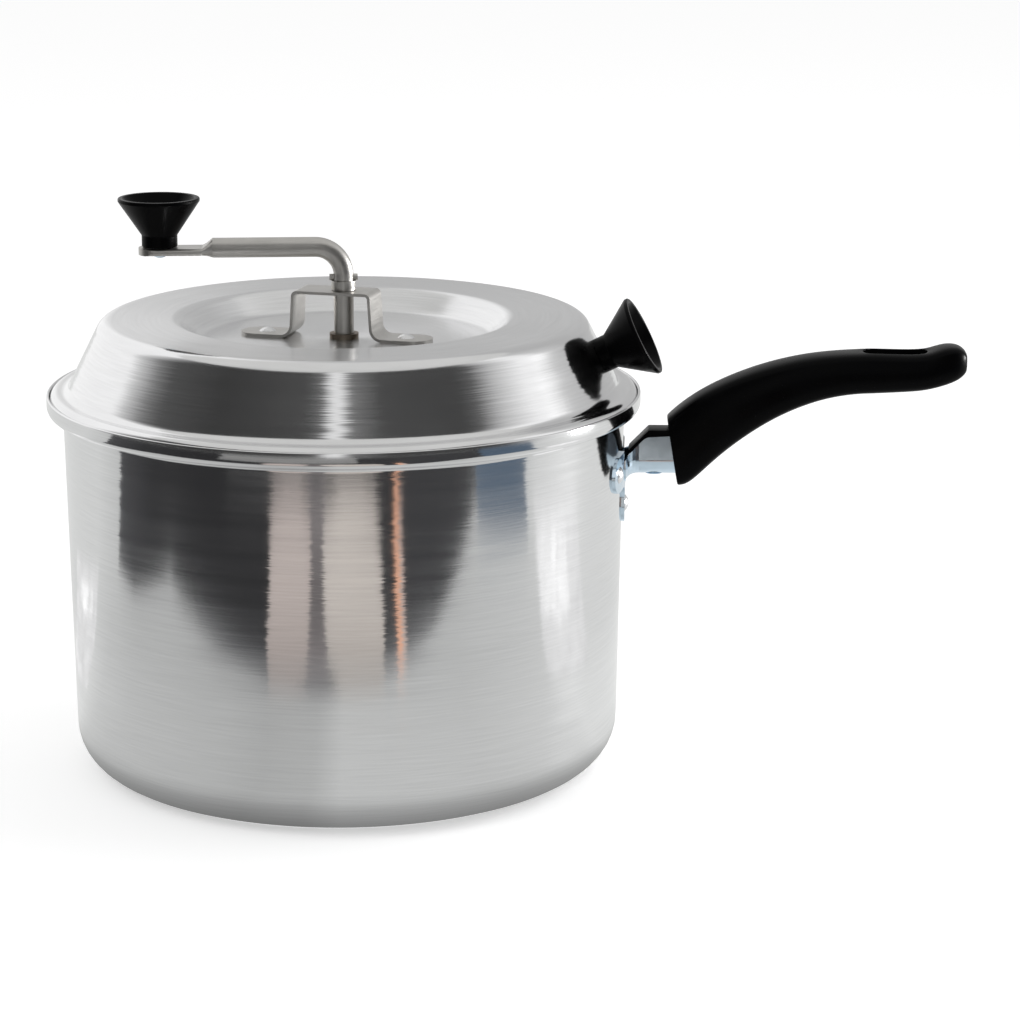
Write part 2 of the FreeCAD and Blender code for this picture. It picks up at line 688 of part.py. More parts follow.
def lid_bends():
    """The bend at each inner corner of the lid's upper face."""
    return [LID_RECESS_BEND, LID_RECESS_BEND, LID_TOP_BEND, LID_SLOPE_FOOT_BEND, LID_FLANGE_CURL]


def lid_knob_seat():
    """The point on the lid's slope where the side knob sits."""
    return polar(LID_KNOB_RADIUS, LID_KNOB_AZIMUTH_DEG, LID_KNOB_HEIGHT)


def lid_knob_direction():
    """The direction that faces squarely out of the slope at the side knob."""
    return polar(math.sin(LID_SLOPE), LID_KNOB_AZIMUTH_DEG, math.cos(LID_SLOPE)).normalize()


def bridge_rivet_places():
    """The two places on the recess floor where the bridge is riveted."""
    return [
        polar(BRIDGE_OFFSET + side * BRIDGE_RIVET_SPACING / 2, BRIDGE_AZIMUTH_DEG, LID_RECESS_FLOOR_HEIGHT)
        for side in (-1, 1)
    ]


def lid_shell():
    """The lid, pierced for the rivets and the knob's screw."""
    shell = spin(sheet_face(lid_outline(), lid_bends(), -LID_SHEET))
    drills = [
        cylinder(RIVET_HOLE_RADIUS, place.z - 2 * LID_SHEET, place.z + LID_SHEET, place)
        for place in bridge_rivet_places()
    ]
    bar = cylinder(KNOB_PIN_RADIUS + RIVET_HOLE_CLEARANCE, -4 * LID_SHEET, 4 * LID_SHEET)
    drills.append(placed(bar, lid_knob_seat(), lid_knob_direction()))
    return shell.cut(drills)


def lid_bush():
    """The flanged bush swaged in the lid's centre hole, in which the crank turns."""
    floor = LID_RECESS_FLOOR_HEIGHT
    flange = ring(BUSH_FLANGE_RADIUS, TUBE_HOLE_RADIUS, floor, floor + BUSH_FLANGE_HEIGHT)
    body = ring(BUSH_BODY_RADIUS, TUBE_HOLE_RADIUS, LID_UNDERSIDE, floor)
    tail = ring(BUSH_TAIL_RADIUS, TUBE_HOLE_RADIUS, BUSH_TAIL_FOOT, LID_UNDERSIDE)
    return flange.fuse([body, tail]).removeSplitter()


def crank_bridge():
    """The hat-shaped strip, bent from one flat bar with round ends."""
    floor = LID_RECESS_FLOOR_HEIGHT
    centre = BRIDGE_OFFSET
    outline = [
        flat(centre - BRIDGE_HALF_LENGTH, floor),
        flat(centre - BRIDGE_FOOT_HALF + BRIDGE_SHEET, floor),
        flat(centre - BRIDGE_TOP_HALF + BRIDGE_SHEET, BRIDGE_TOP_HEIGHT - BRIDGE_SHEET),
        flat(centre + BRIDGE_TOP_HALF - BRIDGE_SHEET, BRIDGE_TOP_HEIGHT - BRIDGE_SHEET),
        flat(centre + BRIDGE_FOOT_HALF - BRIDGE_SHEET, floor),
        flat(centre + BRIDGE_HALF_LENGTH, floor),
    ]
    top_bend = BRIDGE_TOP_BEND - BRIDGE_SHEET
    foot_bend = BRIDGE_FOOT_BEND + BRIDGE_SHEET
    face = sheet_face(outline, [foot_bend, top_bend, top_bend, foot_bend], BRIDGE_SHEET)
    face.translate(Vector(0, -BRIDGE_WIDTH / 2, 0))
    strip = face.extrude(Vector(0, BRIDGE_WIDTH, 0))
    plan = slot_bar(2 * BRIDGE_HALF_LENGTH, BRIDGE_WIDTH, floor - OVERCUT, BRIDGE_TOP_HEIGHT + OVERCUT)
    plan.translate(Vector(centre, 0, 0))
    strip = turned(strip.common(plan), BRIDGE_AZIMUTH_DEG)
    drills = [
        cylinder(RIVET_HOLE_RADIUS, place.z - OVERCUT, place.z + 2 * BRIDGE_SHEET, place)
        for place in bridge_rivet_places()
    ]
    drills.append(cylinder(TUBE_HOLE_RADIUS, floor, BRIDGE_TOP_HEIGHT + OVERCUT))
    return strip.cut(drills)


def bridge_rivets():
    """Two rivets through the bridge's feet and the lid."""
    one = rivet(
        RIVET_SHANK_RADIUS,
        RIVET_HEAD_RADIUS,
        RIVET_HEAD_HEIGHT,
        BRIDGE_SHEET + LID_SHEET,
        RIVET_TAIL_RADIUS,
        RIVET_TAIL_HEIGHT,
    )
    return Part.makeCompound(
        [placed(one, place + UP * BRIDGE_SHEET, UP) for place in bridge_rivet_places()]
    )


# Knobs

def knob_cup():
    """A knob on its own: a straight neck that opens into a thin cone, hollow from above."""
    cone_top = KNOB_HEIGHT - KNOB_RIM_BAND
    outline = [
        flat(0, 0),
        flat(KNOB_NECK_RADIUS, 0),
        flat(KNOB_NECK_RADIUS, KNOB_NECK_HEIGHT),
        flat(KNOB_RIM_RADIUS, cone_top),
        flat(KNOB_RIM_RADIUS, KNOB_HEIGHT),
        flat(KNOB_RIM_RADIUS - KNOB_WALL, KNOB_HEIGHT),
        flat(KNOB_CUP_FLOOR_RADIUS, KNOB_CUP_FLOOR_HEIGHT),
        flat(0, KNOB_CUP_FLOOR_HEIGHT),
    ]
    edge = KNOB_EDGE
    return lathe(outline, [edge, 2 * edge, edge, edge, edge, edge])


def knob_pivot(height):
    """A point on the crank knob's axis."""
    return CRANK_DIRECTION * KNOB_PIVOT + UP * height


def crank_knob():
    """The knob on the crank's tab, bored to turn on its rivet."""
    knob = knob_cup().cut(cylinder(KNOB_BORE_RADIUS, -OVERCUT, KNOB_HEIGHT))
    return placed(knob, knob_pivot(TAB_TOP + KNOB_GAP), UP)


def knob_washer():
    """The washer in the crank knob's cup."""
    washer = ring(KNOB_WASHER_RADIUS, KNOB_PIN_RADIUS + RIVET_HOLE_CLEARANCE, 0, KNOB_WASHER_THICKNESS)
    return placed(washer, knob_pivot(TAB_TOP + 2 * KNOB_GAP + KNOB_CUP_FLOOR_HEIGHT), UP)


def knob_rivet():
    """The rivet the crank knob turns on. Its domed head is under the tab, its tail is on the washer."""
    grip = TAB_THICKNESS + 2 * KNOB_GAP + KNOB_CUP_FLOOR_HEIGHT + KNOB_WASHER_THICKNESS
    one = rivet(
        KNOB_PIN_RADIUS,
        RIVET_HEAD_RADIUS,
        RIVET_HEAD_HEIGHT,
        grip,
        RIVET_TAIL_RADIUS,
        RIVET_TAIL_HEIGHT,
    )
    return placed(one, knob_pivot(TAB_UNDERSIDE), DOWN)


def lid_space():
    """All that lies under the lid's upper face."""
    outline = [flat(0, 0), flat(0, LID_RECESS_FLOOR_HEIGHT)] + lid_outline()[1:]
    outline.append(flat(LID_FLANGE_RADIUS, 0))
    bends = [0] + lid_bends() + [0]
    edges = rounded_path(outline, bends) + [Part.LineSegment(outline[-1], outline[0]).toShape()]
    return spin(Part.Face(Part.Wire(edges)))


def lid_knob():
    """The fixed knob on the lid's slope. Its neck is cut to the slope's curve."""
    sink = KNOB_NECK_RADIUS ** 2 / (2 * LID_TOP_RADIUS)
    insert = cylinder(LID_KNOB_INSERT_RADIUS, -OVERCUT, LID_KNOB_INSERT_LENGTH)
    seat = lid_knob_seat() - lid_knob_direction() * sink
    knob = placed(knob_cup().cut(insert), seat, lid_knob_direction())
    return knob.cut(lid_space())


def lid_knob_insert():
    """The threaded insert moulded in the lid knob's neck."""
    length = LID_KNOB_INSERT_LENGTH
    insert = ring(LID_KNOB_INSERT_RADIUS, KNOB_PIN_RADIUS, 0, length)
    sink = KNOB_NECK_RADIUS ** 2 / (2 * LID_TOP_RADIUS)
    seat = lid_knob_seat() - lid_knob_direction() * sink
    return placed(insert, seat, lid_knob_direction()).cut(lid_space())


def under_lid_knob(depth):
    """A point on the lid knob's axis, a depth below where a washer touches the sheet."""
    rise = hollow_rise(KNOB_WASHER_RADIUS, LID_TOP_RADIUS)
    return lid_knob_seat() - lid_knob_direction() * (LID_SHEET + rise + depth)


def lid_knob_washer():
    """The washer under the lid knob's screw."""
    washer = ring(KNOB_WASHER_RADIUS, KNOB_PIN_RADIUS + RIVET_HOLE_CLEARANCE, 0, KNOB_WASHER_THICKNESS)
    return placed(washer, under_lid_knob(KNOB_WASHER_THICKNESS), lid_knob_direction())


def lid_knob_screw():
    """The screw from inside the lid into the knob's insert."""
    grip = KNOB_WASHER_THICKNESS + LID_SHEET
    shank = cylinder(KNOB_PIN_RADIUS, 0, grip + LID_KNOB_INSERT_LENGTH - LID_KNOB_SCREW_TIP_GAP)
    edges = [
        dome(LID_KNOB_SCREW_HEAD_RADIUS, LID_KNOB_SCREW_HEAD_HEIGHT),
        Part.LineSegment(flat(LID_KNOB_SCREW_HEAD_RADIUS, 0), flat(0, 0)).toShape(),
        Part.LineSegment(flat(0, 0), flat(0, LID_KNOB_SCREW_HEAD_HEIGHT)).toShape(),
    ]
    head = placed(spin(Part.Face(Part.Wire(edges))), Vector(), DOWN)
    return placed(
        shank.fuse(head).removeSplitter(), under_lid_knob(KNOB_WASHER_THICKNESS), lid_knob_direction()
    )


# Crank

def across_crank():
    """The level direction square to the crank's arm."""
    return UP.cross(CRANK_DIRECTION)


def round_section(distance):
    """The tube's round section in four arcs, at a distance along the arm."""
    centre = CRANK_DIRECTION * distance + UP * TUBE_RUN_HEIGHT
    side = across_crank()
    at = [
        centre + (side * math.cos(angle) + UP * math.sin(angle)) * TUBE_RADIUS
        for angle in [math.pi / 4 * step for step in range(1, 10)]
    ]
    return Part.Wire([Part.Arc(at[i], at[i + 1], at[i + 2]).toShape() for i in (0, 2, 4, 6)])


def flat_section(distance):
    """The tab's flat section with round edges, at a distance along the arm."""
    centre = CRANK_DIRECTION * distance + UP * TAB_MIDDLE
    edge = TAB_THICKNESS / 2
    side = across_crank() * (TAB_WIDTH / 2 - edge)
    rise = UP * edge
    bulge = across_crank() * (TAB_WIDTH / 2)
    return Part.Wire(
        [
            Part.LineSegment(centre + side + rise, centre - side + rise).toShape(),
            Part.Arc(centre - side + rise, centre - bulge, centre - side - rise).toShape(),
            Part.LineSegment(centre - side - rise, centre + side - rise).toShape(),
            Part.Arc(centre + side - rise, centre + bulge, centre + side + rise).toShape(),
        ]
    )


def crank_tube():
    """The bent tube with its pressed end, open at the foot and bored for its pins."""
    foot = UP * TUBE_FOOT
    elbow = UP * TUBE_RUN_HEIGHT
    end = elbow + CRANK_DIRECTION * TUBE_RUN_LENGTH
    bore_end = end - CRANK_DIRECTION * TUBE_RADIUS
    outer = pipe(rounded_path([foot, elbow, end], [TUBE_BEND]), TUBE_RADIUS)
    bore = pipe(rounded_path([foot, elbow, bore_end], [TUBE_BEND]), TUBE_RADIUS - TUBE_WALL)
    tab_start = TUBE_RUN_LENGTH + TAB_TAPER_LENGTH
    taper = Part.makeLoft([round_section(TUBE_RUN_LENGTH), flat_section(tab_start)], True, True)
    tab = Part.Face(flat_section(tab_start)).extrude(CRANK_DIRECTION * (TAB_END - tab_start))
    plan = slot_bar(2 * TAB_END, TAB_WIDTH, TAB_UNDERSIDE - OVERCUT, TAB_TOP + OVERCUT)
    tab = tab.common(turned(plan, CRANK_AZIMUTH_DEG))
    tube = outer.fuse([taper, tab]).cut([bore, knob_rivet_drill(), cross_pin_drill()])
    return tube.cut([split_pin_drill(), stirrer_pin_drill()])


def knob_rivet_drill():
    """The hole in the tab for the knob's rivet."""
    return cylinder(
        KNOB_PIN_RADIUS + RIVET_HOLE_CLEARANCE,
        TAB_UNDERSIDE - OVERCUT,
        TAB_TOP + OVERCUT,
        knob_pivot(0),
    )


def cross_bar(radius, length, height, direction):
    """A level bar through the crank's axis, centred on it."""
    bar = Part.makeCylinder(radius, length, Vector(0, 0, -length / 2))
    return placed(bar, UP * height, direction)


def cross_pin_drill():
    """The hole in the tube for the pin above the collar."""
    return cross_bar(
        CROSS_PIN_RADIUS + RIVET_HOLE_CLEARANCE, CROSS_PIN_LENGTH, CROSS_PIN_HEIGHT, CRANK_DIRECTION
    )


def crank_cross_pin():
    """The pin through the tube that rests on the collar."""
    return cross_bar(CROSS_PIN_RADIUS, CROSS_PIN_LENGTH, CROSS_PIN_HEIGHT, CRANK_DIRECTION)


def crank_collar():
    """The sleeve between the cross pin and the bridge."""
    inner = TUBE_RADIUS + RIVET_HOLE_CLEARANCE
    return ring(COLLAR_RADIUS, inner, COLLAR_FOOT, COLLAR_FOOT + COLLAR_HEIGHT)


def retaining_washer():
    """The washer that keeps the crank from lifting out of the lid."""
    inner = TUBE_RADIUS + RIVET_HOLE_CLEARANCE
    return ring(RETAINER_RADIUS, inner, RETAINER_TOP - RETAINER_THICKNESS, RETAINER_TOP)


def split_pin_drill():
    """The hole in the tube for the split pin."""
    return cross_bar(
        SPLIT_PIN_RADIUS + RIVET_HOLE_CLEARANCE, SPLIT_PIN_LENGTH, SPLIT_PIN_HEIGHT, across_crank()
    )


def split_pin():
    """The split pin under the retaining washer, with its eye at one end."""
    direction = across_crank()
    shank = cross_bar(SPLIT_PIN_RADIUS, SPLIT_PIN_LENGTH, SPLIT_PIN_HEIGHT, direction)
    reach = SPLIT_PIN_LENGTH / 2 + SPLIT_PIN_EYE_RADIUS
    eye = Part.makeTorus(SPLIT_PIN_EYE_RADIUS, SPLIT_PIN_RADIUS)
    eye.translate(direction * reach + UP * SPLIT_PIN_HEIGHT)
    return shank.fuse(eye).removeSplitter()


# Stirrer

def stirrer_pin_height():
    """Height of the pin that fixes the hub on the tube."""
    return POT_FLOOR + STIRRER_PIN_ABOVE_FLOOR


def stirrer_pin_drill():
    """The hole through hub and tube for the stirrer's pin."""
    return cross_bar(
        STIRRER_PIN_RADIUS + RIVET_HOLE_CLEARANCE, 4 * HUB_RADIUS, stirrer_pin_height(), across_crank()
    )


def stirrer_pin():
    """The pin that fixes the hub on the tube."""
    return cross_bar(STIRRER_PIN_RADIUS, STIRRER_PIN_LENGTH, stirrer_pin_height(), across_crank())


def wire_path():
    """One stirrer wire: out of the hub, down to the floor, bowed along it and turned up at the tip."""
    root = POT_FLOOR + WIRE_ROOT_HEIGHT
    run = WIRE_RUN_HEIGHT
    points = [
        Vector(HUB_RADIUS - WIRE_ROOT_DEPTH, 0, root),
        Vector(WIRE_STRAIGHT_RADIUS, 0, root),
        Vector(WIRE_LANDING_RADIUS, 0, run),
        Vector(WIRE_SWEEP_RADIUS, WIRE_SWEEP_BOW, run),
        Vector(WIRE_TIP_RADIUS, 0, run),
        Vector(WIRE_TIP_RADIUS + WIRE_TIP_OUT, 0, run + WIRE_TIP_RISE),
    ]
    return rounded_path(points, [WIRE_BEND, WIRE_BEND, WIRE_SWEEP_BEND, WIRE_BEND / 2])


def stirrer_azimuths():
    """The two wires lie opposite each other."""
    return [STIRRER_AZIMUTH_DEG, STIRRER_AZIMUTH_DEG + 180]


def stirrer_hub():
    """The hub, blind from above for the tube and from both sides for the wires."""
    foot = HUB_FOOT
    hub = cylinder(HUB_RADIUS, foot, foot + HUB_HEIGHT)
    hub = hub.makeChamfer(HUB_EDGE, [hub.Edges[0], hub.Edges[2]])
    sockets = [
        cylinder(TUBE_RADIUS + RIVET_HOLE_CLEARANCE, TUBE_FOOT, foot + HUB_HEIGHT + OVERCUT),
        stirrer_pin_drill(),
    ]
    root = Vector(HUB_RADIUS - WIRE_ROOT_DEPTH, 0, POT_FLOOR + WIRE_ROOT_HEIGHT)
    socket = Part.makeCylinder(WIRE_RADIUS, HUB_RADIUS, root, Vector(1, 0, 0))
    sockets.extend(turned(socket, azimuth_deg) for azimuth_deg in stirrer_azimuths())
    return hub.cut(sockets)


def stirrer_wires():
    """Both stirrer wires."""
    wire = pipe(wire_path(), WIRE_RADIUS)
    return Part.makeCompound([turned(wire, azimuth_deg) for azimuth_deg in stirrer_azimuths()])


NODES = [
    pot_body,
    handle_bracket,
    bracket_rivets,
    handle_grip,
    handle_screw,
    lid_shell,
    lid_bush,
    crank_bridge,
    bridge_rivets,
    lid_knob,
    lid_knob_insert,
    lid_knob_washer,
    lid_knob_screw,
    crank_tube,
    crank_collar,
    crank_cross_pin,
    retaining_washer,
    split_pin,
    knob_rivet,
    knob_washer,
    crank_knob,
    stirrer_hub,
    stirrer_wires,
    stirrer_pin,
]

os.makedirs("parts", exist_ok=True)
for node in NODES:
    node().exportStep(os.path.join("parts", node.__name__ + ".step"))
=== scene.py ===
import json
import math

import bmesh
import bpy
from bpy.props import FloatProperty, FloatVectorProperty, IntProperty, PointerProperty
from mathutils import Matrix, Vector

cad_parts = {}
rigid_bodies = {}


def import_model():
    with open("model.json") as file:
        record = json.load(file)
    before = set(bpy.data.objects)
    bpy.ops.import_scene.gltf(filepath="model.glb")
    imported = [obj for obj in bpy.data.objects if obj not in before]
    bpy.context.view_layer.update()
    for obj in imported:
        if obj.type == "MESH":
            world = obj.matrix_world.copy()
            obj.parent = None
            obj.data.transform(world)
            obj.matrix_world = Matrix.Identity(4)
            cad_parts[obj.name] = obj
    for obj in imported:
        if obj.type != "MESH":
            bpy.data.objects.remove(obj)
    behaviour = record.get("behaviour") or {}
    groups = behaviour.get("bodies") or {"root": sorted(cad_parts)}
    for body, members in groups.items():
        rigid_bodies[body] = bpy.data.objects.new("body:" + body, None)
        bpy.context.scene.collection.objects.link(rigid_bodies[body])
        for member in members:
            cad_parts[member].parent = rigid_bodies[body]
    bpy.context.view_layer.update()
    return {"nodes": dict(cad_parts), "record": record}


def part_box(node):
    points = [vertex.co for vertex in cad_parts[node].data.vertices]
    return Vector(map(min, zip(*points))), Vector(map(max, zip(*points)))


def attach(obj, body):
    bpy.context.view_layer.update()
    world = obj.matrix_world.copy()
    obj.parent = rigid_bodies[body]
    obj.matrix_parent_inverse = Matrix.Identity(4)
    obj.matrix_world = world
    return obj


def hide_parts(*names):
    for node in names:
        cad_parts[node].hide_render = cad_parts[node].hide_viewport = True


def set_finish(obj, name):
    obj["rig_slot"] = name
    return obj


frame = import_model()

# Looks of the stovetop popcorn popper, in metres. The frame's axes hold: +Z up, +X along the handle.

bl_info = {
    "name": "Stovetop popcorn popper",
    "version": (1, 0, 0),
    "blender": (4, 5, 0),
    "location": "3D View > Sidebar > Popper",
    "description": "Dresses the packed popper: spun pot, pressed lid, moulded grip, finishes and stage",
    "category": "Object",
}

COLLAR_RADIUS = -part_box("pot_body")[0].x
COLLAR_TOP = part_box("pot_body")[1].z
LID_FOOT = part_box("lid_shell")[0].z
LID_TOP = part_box("lid_shell")[1].z
LID_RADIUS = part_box("lid_shell")[1].y
MILLIMETRE = 0.001

# How finely the shells are turned and bent, and how close a held point stands to a bend.
TURN_SEGMENTS = 256
POT_BEND_STEPS = 10
LID_BEND_STEPS = 8
BEND_HOLD = 0.0003

# The share of the pot's foot that is one fan of faces, the share of a sheet that its cut edges are rounded
# by, the turn from which an edge is a cut one, and the turn below which a piece is shaded smooth.
FLOOR_FAN = 0.5
LIP_SHARE = 0.42
LIP_TURN = math.radians(60)
SMOOTH_TURN = math.radians(35)


# Settings

def length(name, description, default):
    """A size in metres that the sidebar shows in the scene's units."""
    return FloatProperty(name=name, description=description, default=default, unit="LENGTH", precision=4)


def colour(name, description, default):
    """A colour that the sidebar shows as a swatch."""
    return FloatVectorProperty(
        name=name, description=description, default=default, subtype="COLOR", size=3, min=0, max=1
    )


def amount(name, description, default):
    """A share between nothing and all."""
    return FloatProperty(name=name, description=description, default=default, subtype="FACTOR", min=0, max=1)


class PotSizes(bpy.types.PropertyGroup):
    """The spun pot."""

    sheet: length("Sheet", "Thickness of the pot's sheet", 0.0012)
    wall_radius: length("Wall radius", "Outer radius of the wall under the ledge", 0.1201)
    ledge_height: length("Ledge height", "Height of the ledge that the lid's skirt rests on", 0.156)
    foot_radius: length("Foot radius", "Where the wall would meet the table with no corner", 0.11738)
    base_corner: length("Base corner", "Outer radius of the rounded base", 0.0195)
    ledge_bend: length("Ledge bend", "Radius where the wall turns out to the ledge", 0.002)
    collar_bend: length("Collar bend", "Radius where the ledge turns up to the collar", 0.003)


class LidSizes(bpy.types.PropertyGroup):
    """The pressed lid."""

    sheet: length("Sheet", "Thickness of the lid's sheet", 0.001)
    hole_radius: length("Hole radius", "Radius of the centre hole round the bush", 0.0052)
    recess_floor: length("Recess floor", "Height of the sunk centre", 0.1855)
    recess_radius: length("Recess radius", "Radius of the sunk centre's floor", 0.062)
    mouth_radius: length("Mouth radius", "Radius where the sunk centre meets the top", 0.071)
    recess_bend: length("Recess bend", "Radius of the bends round the sunk centre", 0.006)
    top_radius: length("Top radius", "Radius where the top meets the slope", 0.1032)
    top_bend: length("Top bend", "Radius of the bend between top and slope", 0.0068)
    slope_foot: length("Slope foot", "Radius where the slope meets the flange", 0.1182)
    foot_bend: length("Foot bend", "Radius of the bend between slope and flange", 0.004)
    flange_height: length("Flange height", "Height of the flange", 0.165)
    flange_curl: length("Flange curl", "Radius where the flange turns down into the collar", 0.0036)
    flange_reach: length("Flange reach", "How much wider the flange is than its solid", 0.0005)


class GripSizes(bpy.types.PropertyGroup):
    """The moulded grip."""

    face_edge: length("Face edge", "How far the edge of the front face is rounded", 0.0012)
    tip_edge: length("Tip edge", "How far the edge of the tip's face is rounded", 0.002)
    slot_rim: length("Slot rim", "How far the rim of the hanging slot is rounded", 0.0004)
    tongue_width: length("Tongue width", "Width of the tongue in the bracket", 0.0119)
    tongue_corner: length("Tongue corner", "Radius of the tongue's lower edges", 0.0054)
    tongue_edge: length("Tongue edge", "Radius of the tongue's upper edges", 0.0005)
    smoothness: IntProperty(
        name="Smoothness", description="Times the grip is subdivided", default=3, min=1, max=4
    )


class Finishes(bpy.types.PropertyGroup):
    """Colours and roughness of the finishes."""

    aluminium: colour("Aluminium", "Bare spun aluminium", (0.80, 0.80, 0.805))
    pot_roughness: amount("Pot roughness", "How much the pot's wall blurs what it mirrors", 0.095)
    lid_roughness: amount("Lid roughness", "How much the lid blurs what it mirrors", 0.12)
    steel: colour("Steel", "Polished steel of bridge, crank and wires", (0.58, 0.565, 0.54))
    steel_roughness: amount("Steel roughness", "How much the polished steel blurs what it mirrors", 0.36)
    dark_steel: colour("Dark steel", "Dull steel of the bush", (0.24, 0.20, 0.16))
    dark_steel_roughness: amount("Dark steel roughness", "How dull the bush is", 0.42)
    zinc: colour("Zinc", "Bright zinc plating with its blue cast", (0.64, 0.77, 0.88))
    brass: colour("Brass", "Turned brass insert", (0.76, 0.58, 0.28))
    phenolic: colour("Phenolic", "Black moulded grip and knobs", (0.0012, 0.0012, 0.0014))
    phenolic_roughness: amount("Phenolic roughness", "How dull the moulded black is", 0.26)


class StageSettings(bpy.types.PropertyGroup):
    """Camera, floor and light."""

    camera_place: FloatVectorProperty(
        name="Camera place", description="Where the camera stands", default=(0.1176, -1.3441, 0.4439),
        size=3, subtype="TRANSLATION", unit="LENGTH",
    )
    camera_tilt: FloatProperty(
        name="Camera tilt", description="How far the camera looks down from level",
        default=math.radians(13.94), subtype="ANGLE", unit="ROTATION",
    )
    camera_pan: FloatProperty(
        name="Camera pan", description="How far the camera looks left of straight ahead",
        default=math.radians(2.01), subtype="ANGLE", unit="ROTATION",
    )
    camera_roll: FloatProperty(
        name="Camera roll", description="How far the camera leans", default=-0.0021,
        subtype="ANGLE", unit="ROTATION",
    )
    focal_length: FloatProperty(
        name="Focal length", description="Of the lens, in millimetres", default=113.05,
        subtype="DISTANCE_CAMERA",
    )
    floor: colour("Floor", "The pale floor", (0.86, 0.86, 0.86))
    floor_glow: amount("Floor glow", "What lifts the floor to white where it is seen directly", 0.42)
    room_light: amount("Room light", "Soft light from all round", 0.62)
    lamp_power: FloatProperty(
        name="Lamp power", description="Of each lamp, in watts", default=9.0, unit="POWER"
    )
    lamp_size: length("Lamp size", "How wide each lamp is", 1.4)


# Modelling

def start_piece(name):
    """Names the primitive that was just added, puts its place into its mesh and opens it for editing."""
    piece = bpy.context.active_object
    piece.name = name
    piece.data.name = name
    bpy.ops.object.transform_apply(location=True, rotation=True, scale=True)
    bpy.ops.object.mode_set(mode="EDIT")
    return piece


def finish_piece(piece, body, slot, *nodes):
    """Closes a piece, gives it its body and its finish, and lets it stand for the frame's nodes."""
    bpy.ops.object.mode_set(mode="OBJECT")
    bpy.ops.object.shade_smooth_by_angle(angle=SMOOTH_TURN)
    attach(piece, body)
    if nodes:
        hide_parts(*nodes)
    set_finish(piece, slot)


def select_where(piece, kind, wanted):
    """Selects the vertices, edges or faces of an open piece that pass a test."""
    bpy.ops.mesh.select_mode(type=kind)
    bpy.ops.mesh.select_all(action="DESELECT")
    mesh = bmesh.from_edit_mesh(piece.data)
    for part in {"VERT": mesh.verts, "EDGE": mesh.edges, "FACE": mesh.faces}[kind]:
        part.select_set(wanted(part))
    bmesh.update_edit_mesh(piece.data)


def face_outwards():
    """Turns all faces of the open piece outwards."""
    bpy.ops.mesh.select_all(action="SELECT")
    bpy.ops.mesh.normals_make_consistent(inside=False)


def bend_outline(corners, bends, steps):
    """The outline's points, with an arc of a number of steps at each inner corner that has a bend. A point
    held close to each end of an arc keeps the flat stretches flat when the shell is shaded."""
    points = [Vector(corners[0])]
    for before, corner, after, bend in zip(corners, corners[1:], corners[2:], bends):
        into = (Vector(corner) - Vector(before)).normalized()
        out = (Vector(after) - Vector(corner)).normalized()
        turn = into.angle_signed(out)
        setback = bend * math.tan(abs(turn) / 2)
        side = math.copysign(1, turn)
        across = Vector((into.y, -into.x)) * side
        start = Vector(corner) - into * setback
        centre = start + across * bend
        if (start - points[-1]).length > 2 * BEND_HOLD:
            points.append(start - into * BEND_HOLD)
        for step in range(steps + 1):
            angle = abs(turn) * step / steps
            points.append(centre - across * bend * math.cos(angle) + into * bend * math.sin(angle))
        points.append(points[-1] + out * BEND_HOLD)
    points.append(Vector(corners[-1]))
    return points


def turn_outline(name, points, closed_start):
    """A shell of revolution: a ring that is extruded and scaled from point to point of an outline."""
    bpy.ops.object.select_all(action="DESELECT")
    bpy.ops.mesh.primitive_circle_add(
        vertices=TURN_SEGMENTS,
        radius=points[0].x,
        location=(0, 0, points[0].y),
        fill_type="TRIFAN" if closed_start else "NOTHING",
    )
    piece = start_piece(name)
    bpy.ops.mesh.select_mode(type="EDGE")
    bpy.ops.mesh.select_all(action="SELECT")
    if closed_start:
        bpy.ops.mesh.region_to_loop()
    for here, there in zip(points, points[1:]):
        growth = there.x / here.x
        bpy.ops.mesh.extrude_region_move(TRANSFORM_OT_translate={"value": (0, 0, there.y - here.y)})
        bpy.ops.transform.resize(value=(growth, growth, 1), center_override=(0, 0, there.y))
    return piece


def thicken(piece, thickness):
    """Gives a shell its sheet's thickness, inwards, and softens its cut edges."""
    face_outwards()
    bpy.ops.object.mode_set(mode="OBJECT")
    wall = piece.modifiers.new("wall", "SOLIDIFY")
    wall.thickness = thickness
    wall.offset = -1
    wall.use_even_offset = True
    bpy.ops.object.modifier_apply(modifier=wall.name)
    edges = piece.modifiers.new("lip", "BEVEL")
    edges.width = thickness * LIP_SHARE
    edges.segments = 3
    edges.limit_method = "ANGLE"
    edges.angle_limit = LIP_TURN
    bpy.ops.object.modifier_apply(modifier=edges.name)


class POPPER_OT_pot(bpy.types.Operator):
    """Spin the pot: rounded base, tapered wall, ledge and collar"""

    bl_idname = "popper.pot"
    bl_label = "Pot"

    def execute(self, context):
        pot = context.scene.popper_pot
        outline = [
            (pot.foot_radius * FLOOR_FAN, 0),
            (pot.foot_radius, 0),
            (pot.wall_radius, pot.ledge_height),
            (COLLAR_RADIUS, pot.ledge_height),
            (COLLAR_RADIUS, COLLAR_TOP),
        ]
        bends = [pot.base_corner, pot.ledge_bend, pot.collar_bend]
        piece = turn_outline("pot", bend_outline(outline, bends, POT_BEND_STEPS), True)
        thicken(piece, pot.sheet)
        finish_piece(piece, "pot", "pot_aluminium", "pot_body")
        return {"FINISHED"}


